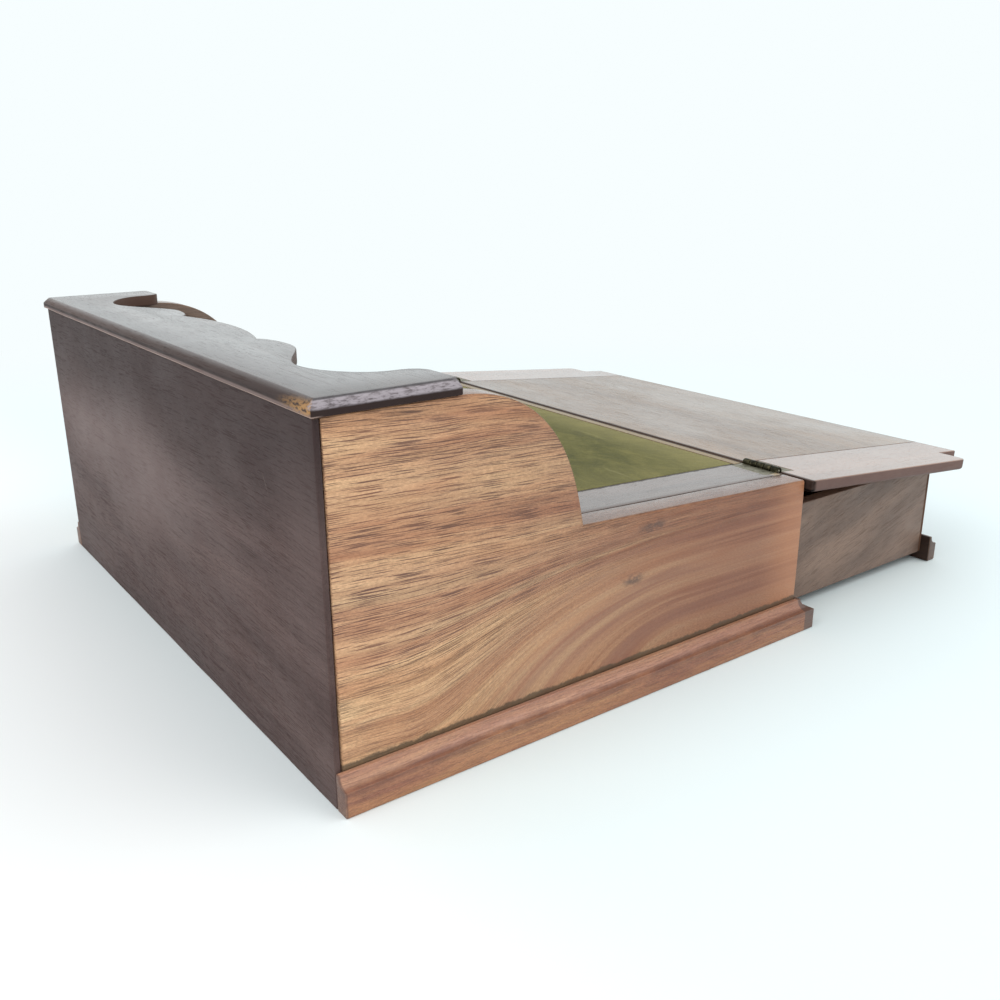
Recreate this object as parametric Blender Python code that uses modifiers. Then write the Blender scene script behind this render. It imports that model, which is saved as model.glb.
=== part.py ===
"""Walnut lap desk, open for writing: the lid is folded forward onto the pulled-out drawer.

Metres, +Z up. The writer sits on the -Y side, and the tall compartment stands at +Y.
The origin is on the ground under the middle of the carcass.
"""
import math

import bmesh
import bpy
from mathutils import Matrix, Vector
from mathutils.geometry import interpolate_bezier

# Clearances
GAP = 0.0003
FLOOR_CLEARANCE = 0.0004
DRAWER_SIDE_PLAY = 0.0006
LID_END_PLAY = 0.0008
TONGUE_PLAY = 0.0008

# Carcass
CARCASS_WIDTH = 0.340
CARCASS_DEPTH = 0.259
SIDE_THICKNESS = 0.013
TALL_HEIGHT = 0.147
STEP_HEIGHT = 0.0856
FRONT_HEIGHT = 0.0782
STEP_SETBACK = 0.1165
SHOULDER_SETBACK = 0.056
SHOULDER_CROWN = 0.040
SHOULDER_FALL = 0.034
SHOULDER_LEAN = math.radians(9.6)
SHOULDER_STEPS = 24
BACK_THICKNESS = 0.008
BACK_LIP = 0.0025
BOTTOM_THICKNESS = 0.005
RAIL_DEPTH = 0.010
LEDGER_WIDTH = 0.009
PANEL_THICKNESS = 0.007
SHELF_THICKNESS = 0.006
EDGE_SOFTNESS = 0.0006

# Crest board: places along the front edge are measured in from its ends, depths from the rear face
CREST_THICKNESS = 0.006
CREST_END_OVERHANG = 0.002
CREST_REAR_OVERHANG = 0.0015
CREST_CHAMFER = 0.003
CREST_HORN_WIDTH = 0.0205
CREST_HORN_DEPTH = 0.0575
CREST_HORN_FLANK = 0.029
CREST_FLANK_DEPTH = 0.046
CREST_BAY_INSET = 0.059
CREST_BAY_DEPTH = 0.023
CREST_LOBE_INSET = 0.105
CREST_LOBE_DEPTH = 0.0415
CREST_CUSP_INSET = 0.127
CREST_CUSP_DEPTH = 0.036
CREST_CENTRE_DEPTH = 0.0433
CREST_STEPS = 9

# Pigeonholes
DIVIDER_THICKNESS = 0.005
DIVIDER_SPACING = 0.110
DIVIDER_TOP_DEPTH = 0.034
DIVIDER_FOOT_DEPTH = 0.050
DIVIDER_STEPS = 10

# Base moulding
MOULDING_HEIGHT = 0.0154
MOULDING_PROJECTION = 0.0072
MOULDING_SHOULDER = 0.0106
MOULDING_TOP_WIDTH = 0.0022
RETURN_OVERLAP = 0.0053
COVE_STEPS = 6

# Baize
BAIZE_HINGE_MARGIN = 0.0015
BAIZE_FRONT_MARGIN = 0.007
BAIZE_REAR_MARGIN = 0.006
BAIZE_THICKNESS = 0.0008
BAIZE_BELOW_SURFACE = 0.0001

# Lid
LID_THICKNESS = 0.0062
LID_LENGTH = 0.160
LID_OVERHANG = 0.003
LID_CLEAT_WIDTH = 0.0425
LID_EDGE_ROUND = 0.002
LID_EAR_ROUND = 0.004
LID_HINGE_MARGIN = 0.0008
AXIS_FORWARD = 0.0008
AXIS_RISE = 0.0003
ROUND_SEGMENTS = 4

# Hinges
HINGE_LENGTH = 0.022
HINGE_INSET = 0.0035
HINGE_KNUCKLES = 5
LEAF_WIDTH = 0.011
LEAF_THICKNESS = 0.0009
LEAF_BELOW_SURFACE = 0.0001
BARREL_RADIUS = 0.0021
PIN_RADIUS = 0.0009
BARREL_SIDES = 16
SCREW_SPACING = 0.012
SCREW_LINE = 0.0068
SCREW_HEAD_RADIUS = 0.0017
SCREW_SHANK_RADIUS = 0.0009
SCREW_LENGTH = 0.005
SCREW_SIDES = 12

# Drawer
DRAWER_REACH = 0.1358
DRAWER_LENGTH = 0.240
DRAWER_HEIGHT = 0.0537
DRAWER_SIDE_THICKNESS = 0.007
DRAWER_FRONT_THICKNESS = 0.009
DRAWER_LIP = 0.0018
DRAWER_BOTTOM_THICKNESS = 0.003
DRAWER_GROOVE_DEPTH = 0.0025
DRAWER_GROOVE_RISE = 0.005
KNOB_SPACING = 0.170
KNOB_RISE = 0.031
KNOB_RADIUS = 0.009
KNOB_LENGTH = 0.015
KNOB_STEM_RADIUS = 0.0045
KNOB_TENON_RADIUS = 0.003
KNOB_SIDES = 24

# Places worked out from the sizes above
HALF_WIDTH = CARCASS_WIDTH / 2
INNER_FACE = HALF_WIDTH - SIDE_THICKNESS
REAR = CARCASS_DEPTH / 2
FRONT = -REAR
BACK_INNER = REAR - BACK_THICKNESS
STEP_Y = REAR - STEP_SETBACK
SLOPE = math.atan2(STEP_HEIGHT - FRONT_HEIGHT, STEP_Y - FRONT)
PANEL_RUN = LID_LENGTH + TONGUE_PLAY
SHELF_FRONT = FRONT + PANEL_RUN * math.cos(SLOPE) + PANEL_THICKNESS * math.sin(SLOPE) + GAP
SHELF_TOP = FRONT_HEIGHT + (SHELF_FRONT - FRONT) * math.tan(SLOPE)
DRAWER_FLOOR = BOTTOM_THICKNESS + GAP
DRAWER_TOP = DRAWER_FLOOR + DRAWER_HEIGHT
DRAWER_HALF = INNER_FACE - DRAWER_SIDE_PLAY
DRAWER_INSIDE = DRAWER_HALF - DRAWER_SIDE_THICKNESS
GROOVE_TOP = DRAWER_GROOVE_RISE + DRAWER_BOTTOM_THICKNESS + 2 * GAP
RETURN_INNER = INNER_FACE + RETURN_OVERLAP
LID_HALF = HALF_WIDTH + LID_OVERHANG
CLEAT_JOINT = LID_HALF - LID_CLEAT_WIDTH
TONGUE_HALF = INNER_FACE - TONGUE_PLAY
EAR_LENGTH = (STEP_Y - LID_END_PLAY - FRONT) / math.cos(SLOPE) + AXIS_FORWARD
HINGE_CENTRE = INNER_FACE - HINGE_INSET - HINGE_LENGTH / 2
BAIZE_HALF_WIDTH = HINGE_CENTRE - HINGE_LENGTH / 2 - BAIZE_HINGE_MARGIN
PIN_BORE_RADIUS = PIN_RADIUS + GAP
KNUCKLE_LENGTH = (HINGE_LENGTH - (HINGE_KNUCKLES - 1) * GAP) / HINGE_KNUCKLES

MERGE = 0.00001
ACROSS = Matrix(((0, 0, 1, 0), (1, 0, 0, 0), (0, 1, 0, 0), (0, 0, 0, 1)))
LENGTHWISE = Matrix.Rotation(math.pi / 2, 4, "X")
SIDES = (("left", -1), ("right", 1))

WALNUT = (0.36, 0.19, 0.09)
DARK_WALNUT = (0.085, 0.05, 0.045)
MOULDING_WALNUT = (0.25, 0.11, 0.07)
LID_WALNUT = (0.34, 0.24, 0.16)
CLEAT_WALNUT = (0.20, 0.14, 0.13)
DRAWER_WALNUT = (0.19, 0.13, 0.10)
INNER_WALNUT = (0.16, 0.10, 0.07)
BAIZE_GREEN = (0.13, 0.14, 0.04)
AGED_BRASS = (0.09, 0.085, 0.055)


def clear_scene():
    for item in list(bpy.data.objects):
        bpy.data.objects.remove(item, do_unlink=True)


def new_collection(name):
    group = bpy.data.collections.new(name)
    bpy.context.scene.collection.children.link(group)
    return group


def new_frame(name, matrix):
    """An empty that carries a group of pieces; its matrix is where they are modelled from."""
    frame = bpy.data.objects.new(name, None)
    frame.empty_display_size = 0.02
    frame.matrix_world = matrix
    DESK.objects.link(frame)
    return frame


def add_piece(name, mesh, frame, place=Matrix.Identity(4), group=None):
    piece = bpy.data.objects.new(name, mesh)
    (group or DESK).objects.link(piece)
    piece.parent = frame
    piece.matrix_basis = place
    return piece


def finish(piece, colour, roughness=0.4, metallic=0.0):
    material = bpy.data.materials.new(piece.name + "_finish")
    material.use_nodes = True
    shader = material.node_tree.nodes["Principled BSDF"]
    shader.inputs["Base Color"].default_value = (*colour, 1.0)
    shader.inputs["Roughness"].default_value = roughness
    shader.inputs["Metallic"].default_value = metallic
    piece.data.materials.clear()
    piece.data.materials.append(material)


def block_mesh(name, size):
    mesh = bpy.data.meshes.new(name)
    shape = bmesh.new()
    bmesh.ops.create_cube(shape, size=1.0)
    bmesh.ops.scale(shape, vec=size, verts=shape.verts)
    shape.to_mesh(mesh)
    shape.free()
    return mesh


def block(name, low, high, frame=None, group=None):
    """A box between two corners, with its origin at its middle."""
    low = Vector(low)
    high = Vector(high)
    return add_piece(name, block_mesh(name, high - low), frame, Matrix.Translation((low + high) / 2), group)


def rod_mesh(name, radius, length, sides):
    """A rod along X, centred on its origin."""
    mesh = bpy.data.meshes.new(name)
    shape = bmesh.new()
    bmesh.ops.create_cone(shape, cap_ends=True, segments=sides, radius1=radius, radius2=radius,
                          depth=length)
    bmesh.ops.rotate(shape, verts=shape.verts, matrix=Matrix.Rotation(math.pi / 2, 3, "Y"))
    shape.to_mesh(mesh)
    shape.free()
    return mesh


def plate_mesh(name, outline, thickness):
    """A flat outline in X and Y, filled and given a thickness along Z about its middle."""
    curve = bpy.data.curves.new(name, "CURVE")
    curve.dimensions = "2D"
    curve.fill_mode = "BOTH"
    curve.extrude = thickness / 2
    spline = curve.splines.new("POLY")
    spline.points.add(len(outline) - 1)
    for point, place in zip(spline.points, outline):
        point.co = (place[0], place[1], 0.0, 1.0)
    spline.use_cyclic_u = True
    sketch = bpy.data.objects.new(name, curve)
    DESK.objects.link(sketch)
    depsgraph = bpy.context.evaluated_depsgraph_get()
    mesh = bpy.data.meshes.new_from_object(sketch.evaluated_get(depsgraph))
    bpy.data.objects.remove(sketch)
    bpy.data.curves.remove(curve)
    mesh.name = name
    shape = bmesh.new()
    shape.from_mesh(mesh)
    bmesh.ops.remove_doubles(shape, verts=shape.verts, dist=MERGE)
    caps = [face for face in shape.faces if len({vert.co.z > 0 for vert in face.verts}) == 1]
    bmesh.ops.delete(shape, geom=caps, context="FACES")
    bmesh.ops.holes_fill(shape, edges=shape.edges)
    bmesh.ops.recalc_face_normals(shape, faces=shape.faces)
    shape.to_mesh(mesh)
    shape.free()
    return mesh


def plate(name, outline, thickness, place, frame=None):
    return add_piece(name, plate_mesh(name, outline, thickness), frame, place)


def round_edges(piece, chosen, width, segments):
    """Rounds the edges whose two ends both pass the test, in the piece's own coordinates."""
    shape = bmesh.new()
    shape.from_mesh(piece.data)
    edges = [edge for edge in shape.edges if chosen(edge.verts[0].co, edge.verts[1].co)]
    bmesh.ops.bevel(shape, geom=edges, offset=width, segments=segments, profile=0.5, affect="EDGES",
                    clamp_overlap=True)
    bmesh.ops.recalc_face_normals(shape, faces=shape.faces)
    shape.to_mesh(piece.data)
    shape.free()


def soften(piece, width=EDGE_SOFTNESS):
    """Breaks the sharp edges of a board."""
    bevel = piece.modifiers.new("edge_softness", "BEVEL")
    bevel.width = width
    bevel.segments = 1
    bevel.limit_method = "ANGLE"
    bevel.angle_limit = math.radians(50)


def boolean(piece, tool, operation):
    tool.hide_render = True
    tool.display_type = "WIRE"
    step = piece.modifiers.new(tool.name, "BOOLEAN")
    step.operation = operation
    step.object = tool


def cut_block(piece, name, low, high, frame=None):
    boolean(piece, block(name, low, high, frame, CUTTERS), "DIFFERENCE")


def turned_mesh(name, profile, sides):
    """A profile of radius and height, listed from top to bottom, turned about Z."""
    mesh = bpy.data.meshes.new(name)
    shape = bmesh.new()
    ends = [shape.verts.new((radius, 0.0, height)) for radius, height in profile]
    for upper, lower in zip(ends, ends[1:]):
        shape.edges.new((upper, lower))
    shape.to_mesh(mesh)
    shape.free()
    blank = bpy.data.objects.new(name, mesh)
    DESK.objects.link(blank)
    lathe = blank.modifiers.new("turning", "SCREW")
    lathe.axis = "Z"
    lathe.steps = sides
    lathe.render_steps = sides
    lathe.use_merge_vertices = True
    lathe.merge_threshold = MERGE
    depsgraph = bpy.context.evaluated_depsgraph_get()
    solid = bpy.data.meshes.new_from_object(blank.evaluated_get(depsgraph))
    bpy.data.objects.remove(blank)
    solid.name = name
    solid.shade_smooth()
    solid.set_sharp_from_angle(angle=math.radians(40))
    return solid


def arc(centre, radius, start, end, steps):
    """Points on a circle between two angles given in degrees."""
    angles = [math.radians(start + (end - start) * i / steps) for i in range(steps + 1)]
    return [(centre[0] + radius * math.cos(a), centre[1] + radius * math.sin(a)) for a in angles]


def curve_points(start, start_handle, end_handle, end, steps):
    """Points of a cubic curve, without its first one."""
    ends = [Vector((*point, 0.0)) for point in (start, start_handle, end_handle, end)]
    return [(point.x, point.y) for point in interpolate_bezier(*ends, steps + 1)][1:]


def side_panels():
    """Tall at the rear, then a round shoulder that falls to the low sloping front."""
    top = (REAR - SHOULDER_SETBACK, TALL_HEIGHT)
    foot = (STEP_Y, STEP_HEIGHT)
    crown = (top[0] - SHOULDER_CROWN, top[1])
    lean = Vector((math.sin(SHOULDER_LEAN), math.cos(SHOULDER_LEAN)))
    fall = Vector(foot) + SHOULDER_FALL * lean
    rear_end = REAR - BACK_LIP - GAP
    outline = [(FRONT, 0.0), (rear_end, 0.0), (rear_end, TALL_HEIGHT), top]
    outline += curve_points(top, crown, fall, foot, SHOULDER_STEPS)
    outline += [(FRONT, FRONT_HEIGHT)]
    for name, side in SIDES:
        place = Matrix.Translation((side * (HALF_WIDTH - SIDE_THICKNESS / 2), 0.0, 0.0)) @ ACROSS
        piece = plate(name + "_side_panel", outline, SIDE_THICKNESS, place)
        soften(piece)
        finish(piece, WALNUT)


def back_panel():
    """Rabbeted at both ends, so that a thin lip covers the rear ends of the sides."""
    lip = REAR - BACK_LIP
    inner = INNER_FACE - GAP
    half = [(0.0, REAR), (HALF_WIDTH, REAR), (HALF_WIDTH, lip), (inner, lip), (inner, BACK_INNER)]
    outline = half + [(-x, y) for x, y in reversed(half[1:])]
    piece = plate("back_panel", outline, TALL_HEIGHT, Matrix.Translation((0.0, 0.0, TALL_HEIGHT / 2)))
    finish(piece, DARK_WALNUT)


def crest_front_edge(end):
    """Right half of the scalloped front edge, from the middle out: lobe, cusp, lobe, bay and horn."""
    cusp = (end - CREST_CUSP_INSET, CREST_CUSP_DEPTH)
    lobe = (end - CREST_LOBE_INSET, CREST_LOBE_DEPTH)
    bay = (end - CREST_BAY_INSET, CREST_BAY_DEPTH)
    flank = (end - CREST_HORN_FLANK, CREST_FLANK_DEPTH)
    horn = (end - CREST_HORN_WIDTH, CREST_HORN_DEPTH)
    rise = CREST_CENTRE_DEPTH - CREST_CUSP_DEPTH
    centre_handle = (cusp[0] / 3, CREST_CENTRE_DEPTH)
    cusp_handle = (cusp[0] * 2 / 3, CREST_CENTRE_DEPTH - rise / 3)
    lobe_lead = (lobe[0] - cusp[0]) / 3
    bay_lead = (bay[0] - lobe[0]) / 3
    flank_lead = (flank[0] - bay[0]) / 2
    flank_drop = (CREST_FLANK_DEPTH - CREST_BAY_DEPTH) * 0.55
    horn_rise = (CREST_HORN_DEPTH - CREST_FLANK_DEPTH) * 0.7
    horn_lead = (horn[0] - flank[0]) / 2
    points = curve_points((0.0, CREST_CENTRE_DEPTH), centre_handle, cusp_handle, cusp, CREST_STEPS)
    points += curve_points(cusp, (cusp[0] + lobe_lead * 0.7, cusp[1] + (lobe[1] - cusp[1]) * 0.8),
                           (lobe[0] - lobe_lead, lobe[1]), lobe, CREST_STEPS)
    points += curve_points(lobe, (lobe[0] + bay_lead, lobe[1]), (bay[0] - bay_lead, bay[1]), bay,
                           CREST_STEPS)
    points += curve_points(bay, (bay[0] + flank_lead, bay[1]), (flank[0], flank[1] - flank_drop), flank,
                           CREST_STEPS)
    points += curve_points(flank, (flank[0], flank[1] + horn_rise), (horn[0] - horn_lead, horn[1]), horn,
                           CREST_STEPS)
    return points


def crest_board():
    end = HALF_WIDTH + CREST_END_OVERHANG
    rear = REAR + CREST_REAR_OVERHANG
    half = [(0.0, REAR - CREST_CENTRE_DEPTH)]
    half += [(x, REAR - depth) for x, depth in crest_front_edge(end)]
    half += [(end, REAR - CREST_HORN_DEPTH), (end, rear)]
    outline = half + [(-x, y) for x, y in reversed(half[1:])]
    middle = TALL_HEIGHT + GAP + CREST_THICKNESS / 2
    piece = plate("crest_board", outline, CREST_THICKNESS, Matrix.Translation((0.0, 0.0, middle)))

    def outer_top_edge(a, b):
        on_top = min(a.z, b.z) > 0
        at_end = min(abs(a.x), abs(b.x)) > end - MERGE
        return on_top and (at_end or min(a.y, b.y) > rear - MERGE)

    round_edges(piece, outer_top_edge, CREST_CHAMFER, 1)
    finish(piece, DARK_WALNUT, 0.35)


def bottom_board():
    half = INNER_FACE - GAP
    piece = block("bottom_board", (-half, FRONT, 0.0), (half, BACK_INNER - GAP, BOTTOM_THICKNESS))
    finish(piece, INNER_WALNUT, 0.6)


def under_panel(y):
    """Height just under the writing panel at a place along Y."""
    return FRONT_HEIGHT + (y - FRONT) * math.tan(SLOPE) - (PANEL_THICKNESS + GAP) / math.cos(SLOPE)


def front_rail():
    """Fills the front between the drawer and the writing panel; its top follows the slope."""
    low = DRAWER_TOP + GAP
    inner = FRONT + RAIL_DEPTH
    outline = [(FRONT, low), (inner, low), (inner, under_panel(inner)), (FRONT, under_panel(FRONT))]
    piece = plate("front_rail", outline, 2 * (INNER_FACE - GAP), ACROSS)
    finish(piece, WALNUT)


def ledgers():
    """Strips on the inner faces of the sides that carry the writing panel and the shelf."""
    low = DRAWER_TOP + GAP
    front = FRONT + RAIL_DEPTH + GAP
    rear = BACK_INNER - GAP
    under_shelf = SHELF_TOP - SHELF_THICKNESS - GAP
    joint = SHELF_FRONT - GAP
    joint_height = min(under_shelf, under_panel(joint))
    outline = [(front, low), (rear, low), (rear, under_shelf), (joint, joint_height)]
    outline += [(front, under_panel(front))]
    for name, side in SIDES:
        place = Matrix.Translation((side * (INNER_FACE - GAP - LEDGER_WIDTH / 2), 0.0, 0.0)) @ ACROSS
        finish(plate(name + "_ledger", outline, LEDGER_WIDTH, place), INNER_WALNUT, 0.6)


def writing_panel(slope):
    """The fixed half of the writing surface, with a shallow recess for the baize and hinge seats."""
    half = INNER_FACE - GAP
    piece = block("writing_panel", (-half, 0.0, -PANEL_THICKNESS), (half, PANEL_RUN, 0.0), slope)
    recess = BAIZE_BELOW_SURFACE + BAIZE_THICKNESS + GAP
    cut_block(piece, "baize_recess", (-BAIZE_HALF_WIDTH - GAP, BAIZE_FRONT_MARGIN - GAP, -recess),
              (BAIZE_HALF_WIDTH + GAP, PANEL_RUN - BAIZE_REAR_MARGIN + GAP, recess), slope)
    for name, side in SIDES:
        hinge_seat(piece, name + "_panel", side * HINGE_CENTRE, 0.0, LEAF_WIDTH - AXIS_FORWARD, 0.0, slope)
    screw_holes(piece, "panel_screw_holes", SCREW_LINE - AXIS_FORWARD, 0.0, slope)
    finish(piece, CLEAT_WALNUT)


def baize(slope):
    top = -BAIZE_BELOW_SURFACE
    piece = block("baize", (-BAIZE_HALF_WIDTH, BAIZE_FRONT_MARGIN, top - BAIZE_THICKNESS),
                  (BAIZE_HALF_WIDTH, PANEL_RUN - BAIZE_REAR_MARGIN, top), slope)
    finish(piece, BAIZE_GREEN, 0.95)


def hinge_seat(piece, name, centre, near, far, surface, frame):
    """A shallow recess for a leaf and a deeper notch for its barrel, both open to the joint edge."""
    low_x = centre - HINGE_LENGTH / 2 - GAP
    high_x = centre + HINGE_LENGTH / 2 + GAP
    leaf_depth = LEAF_BELOW_SURFACE + LEAF_THICKNESS + GAP
    way = 1 if far > near else -1
    outside = near - way * BARREL_RADIUS
    leaf_end = far + way * GAP
    notch_end = way * (BARREL_RADIUS + GAP - AXIS_FORWARD if way > 0 else BARREL_RADIUS + GAP)
    notch_depth = BARREL_RADIUS + GAP
    cut_block(piece, name + "_leaf_recess", (low_x, min(outside, leaf_end), surface - leaf_depth),
              (high_x, max(outside, leaf_end), surface + leaf_depth), frame)
    cut_block(piece, name + "_barrel_notch", (low_x, min(outside, notch_end), surface - notch_depth),
              (high_x, max(outside, notch_end), surface + notch_depth), frame)


def screw_places(line):
    """The two screws of each hinge, on a line at a distance along the leaf."""
    shifts = ((1, -SCREW_SPACING / 2), (2, SCREW_SPACING / 2))
    return [(f"{name}_{number}", side * HINGE_CENTRE + shift, line)
            for name, side in SIDES for number, shift in shifts]


def screw_holes(piece, name, line, surface, frame):
    """Clearance holes for the screws, as one cutter of separate round rods."""
    shape = bmesh.new()
    depth = SCREW_LENGTH + GAP
    for _, x, y in screw_places(line):
        middle = Matrix.Translation((x, y, surface - depth / 2 + GAP))
        bmesh.ops.create_cone(shape, cap_ends=True, segments=SCREW_SIDES, radius1=SCREW_SHANK_RADIUS + GAP,
                              radius2=SCREW_SHANK_RADIUS + GAP, depth=depth + 2 * GAP, matrix=middle)
    mesh = bpy.data.meshes.new(name)
    shape.to_mesh(mesh)
    shape.free()
    boolean(piece, add_piece(name, mesh, frame, group=CUTTERS), "DIFFERENCE")


def screws(leaf, line, surface, frame):
    """Countersunk wood screws with their heads level with the leaf."""
    top = surface - LEAF_BELOW_SURFACE
    head = SCREW_HEAD_RADIUS - SCREW_SHANK_RADIUS
    tip = top - SCREW_LENGTH + 2 * GAP
    profile = [(0.0, top), (SCREW_HEAD_RADIUS, top), (SCREW_SHANK_RADIUS, top - head),
               (SCREW_SHANK_RADIUS, tip + SCREW_SHANK_RADIUS), (0.0, tip)]
    for place, x, y in screw_places(line):
        name = f"{leaf}_screw_{place}"
        mesh = turned_mesh(name, profile, SCREW_SIDES)
        piece = add_piece(name, mesh, frame, Matrix.Translation((x, y, 0.0)))
        finish(piece, AGED_BRASS, 0.45, 1.0)


def hinge_leaf(name, centre, own, way, axis_y, surface, frame):
    """A thin plate with comb teeth that reach its own knuckles, round-bored for the pin.

    way is +1 or -1, the side of the axis on which the plate lies.
    """
    start = centre - HINGE_LENGTH / 2
    edge = axis_y + way * (BARREL_RADIUS + GAP)
    far = axis_y + way * LEAF_WIDTH
    pitch = KNUCKLE_LENGTH + GAP
    outline = [(start, far), (start, edge)]
    barrel = bmesh.new()
    axis_z = surface + AXIS_RISE
    for index in own:
        low = start + index * pitch
        high = low + KNUCKLE_LENGTH
        near_end = low + GAP / 2
        far_end = high - GAP / 2
        outline += [(near_end, edge), (near_end, axis_y), (far_end, axis_y), (far_end, edge)]
        turn = Matrix.Translation(((low + high) / 2, axis_y, axis_z)) @ Matrix.Rotation(math.pi / 2, 4, "Y")
        bmesh.ops.create_cone(barrel, cap_ends=True, segments=BARREL_SIDES, radius1=BARREL_RADIUS,
                              radius2=BARREL_RADIUS, depth=KNUCKLE_LENGTH, matrix=turn)
    outline += [(start + HINGE_LENGTH, edge), (start + HINGE_LENGTH, far)]
    middle = surface - LEAF_BELOW_SURFACE - LEAF_THICKNESS / 2
    piece = plate(name, outline, LEAF_THICKNESS, Matrix.Translation((0.0, 0.0, middle)), frame)
    mesh = bpy.data.meshes.new(name + "_knuckles")
    barrel.to_mesh(mesh)
    barrel.free()
    boolean(piece, add_piece(name + "_knuckles", mesh, frame, group=CUTTERS), "UNION")
    bore = rod_mesh(name + "_bore", PIN_BORE_RADIUS, HINGE_LENGTH * 2, BARREL_SIDES)
    place = Matrix.Translation((centre, axis_y, axis_z))
    boolean(piece, add_piece(name + "_bore", bore, frame, place, CUTTERS), "DIFFERENCE")
    countersink(piece, name, centre, axis_y + way * SCREW_LINE, surface, frame)
    finish(piece, AGED_BRASS, 0.45, 1.0)


def countersink(piece, name, centre, line, surface, frame):
    """Screw holes in a leaf: clear of the head at the top and of the shank below."""
    shape = bmesh.new()
    reach = LEAF_THICKNESS + LEAF_BELOW_SURFACE + GAP
    rim = SCREW_HEAD_RADIUS + 2 * GAP
    for shift in (-SCREW_SPACING / 2, SCREW_SPACING / 2):
        middle = Matrix.Translation((centre + shift, line, surface))
        bmesh.ops.create_cone(shape, cap_ends=True, segments=SCREW_SIDES, radius1=rim - reach,
                              radius2=rim + reach, depth=2 * reach, matrix=middle)
    mesh = bpy.data.meshes.new(name + "_screw_holes")
    shape.to_mesh(mesh)
    shape.free()
    boolean(piece, add_piece(name + "_screw_holes", mesh, frame, group=CUTTERS), "DIFFERENCE")


def hinges(slope, lid):
    box_knuckles = range(0, HINGE_KNUCKLES, 2)
    lid_knuckles = range(1, HINGE_KNUCKLES, 2)
    for name, side in SIDES:
        centre = side * HINGE_CENTRE
        hinge_leaf(name + "_hinge_box_leaf", centre, box_knuckles, 1, -AXIS_FORWARD, 0.0, slope)
        hinge_leaf(name + "_hinge_lid_leaf", centre, lid_knuckles, -1, 0.0, -AXIS_RISE, lid)
        pin = rod_mesh(name + "_hinge_pin", PIN_RADIUS, HINGE_LENGTH, BARREL_SIDES)
        place = Matrix.Translation((centre, -AXIS_FORWARD, AXIS_RISE))
        piece = add_piece(name + "_hinge_pin", pin, slope, place)
        finish(piece, AGED_BRASS, 0.45, 1.0)
    screws("box_leaf", SCREW_LINE - AXIS_FORWARD, 0.0, slope)
    screws("lid_leaf", -SCREW_LINE, -AXIS_RISE, lid)


def shelf():
    half = INNER_FACE - GAP
    piece = block("pigeonhole_shelf", (-half, SHELF_FRONT, SHELF_TOP - SHELF_THICKNESS),
                  (half, BACK_INNER - GAP, SHELF_TOP))
    finish(piece, INNER_WALNUT)


def dividers():
    """Upright partitions with a swept front edge, deeper at the foot than under the crest."""
    low = SHELF_TOP + GAP
    rear = BACK_INNER - GAP
    foot = (REAR - DIVIDER_FOOT_DEPTH, low)
    top = (REAR - DIVIDER_TOP_DEPTH, TALL_HEIGHT)
    reach = (TALL_HEIGHT - low) / 2
    outline = [(rear, TALL_HEIGHT), (rear, low), foot]
    outline += curve_points(foot, (foot[0], foot[1] + reach), (top[0], top[1] - reach), top, DIVIDER_STEPS)
    for name, side in SIDES:
        place = Matrix.Translation((side * DIVIDER_SPACING / 2, 0.0, 0.0)) @ ACROSS
        finish(plate(name + "_divider", outline, DIVIDER_THICKNESS, place), INNER_WALNUT)


def moulding_profile(low):
    """Distance out and height: a flat plinth, then a cove up to a narrow top."""
    out = MOULDING_PROJECTION
    width = out - MOULDING_TOP_WIDTH
    height = MOULDING_HEIGHT - MOULDING_SHOULDER
    quarter = arc((0.0, 0.0), 1.0, 270, 180, COVE_STEPS)
    cove = [(out + width * x, MOULDING_HEIGHT + height * z) for x, z in quarter]
    return [(GAP, low), (out, low)] + cove + [(GAP, MOULDING_HEIGHT)]


def flip_outline(outline):
    return [(-x, y) for x, y in reversed(outline)]


def base_mouldings():
    """Along each side, mitred at the front corner to a short return on the end of the side panel."""
    profile = moulding_profile(0.0)
    return_length = HALF_WIDTH - RETURN_INNER
    for name, side in SIDES:
        shift = Matrix.Translation((side * HALF_WIDTH, 0.0, 0.0))
        outline = profile if side > 0 else flip_outline(profile)
        mesh_name = name + "_base_moulding"
        mesh = plate_mesh(mesh_name, outline, CARCASS_DEPTH)
        for vert in mesh.vertices:
            if vert.co.z > 0:
                vert.co.z += abs(vert.co.x)
        finish(add_piece(mesh_name, mesh, None, shift @ LENGTHWISE), MOULDING_WALNUT)
        mesh_name = name + "_moulding_return"
        mesh = plate_mesh(mesh_name, flip_outline(profile), return_length)
        for vert in mesh.vertices:
            if vert.co.z * side > 0:
                vert.co.z += side * (abs(vert.co.x) - 2 * GAP)
        middle = Matrix.Translation((side * (RETURN_INNER + HALF_WIDTH) / 2, FRONT, 0.0))
        finish(add_piece(mesh_name, mesh, None, middle @ ACROSS), MOULDING_WALNUT)


def lid_frame(slope_matrix):
    """On the hinge axis, tipped so that the lid's outer face comes to rest on the drawer front."""
    axis = slope_matrix @ Vector((0.0, -AXIS_FORWARD, AXIS_RISE))
    run = axis.y - (FRONT - DRAWER_REACH)
    fall = axis.z - DRAWER_TOP - GAP
    depth = AXIS_RISE + LID_THICKNESS
    droop = math.atan2(fall, run) - math.asin(depth / math.hypot(fall, run))
    return Matrix.Translation(axis) @ Matrix.Rotation(droop, 4, "X")


def lid_board(lid):
    half = CLEAT_JOINT - GAP / 2
    low = -AXIS_RISE - LID_THICKNESS
    piece = block("lid_board", (-half, -LID_LENGTH, low), (half, -LID_HINGE_MARGIN, -AXIS_RISE), lid)

    def outer_face_edge(a, b):
        return max(a.z, b.z) < 0 and abs(a.y - b.y) < MERGE

    round_edges(piece, outer_face_edge, LID_EDGE_ROUND, ROUND_SEGMENTS)
    finish(piece, LID_WALNUT)


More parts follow.
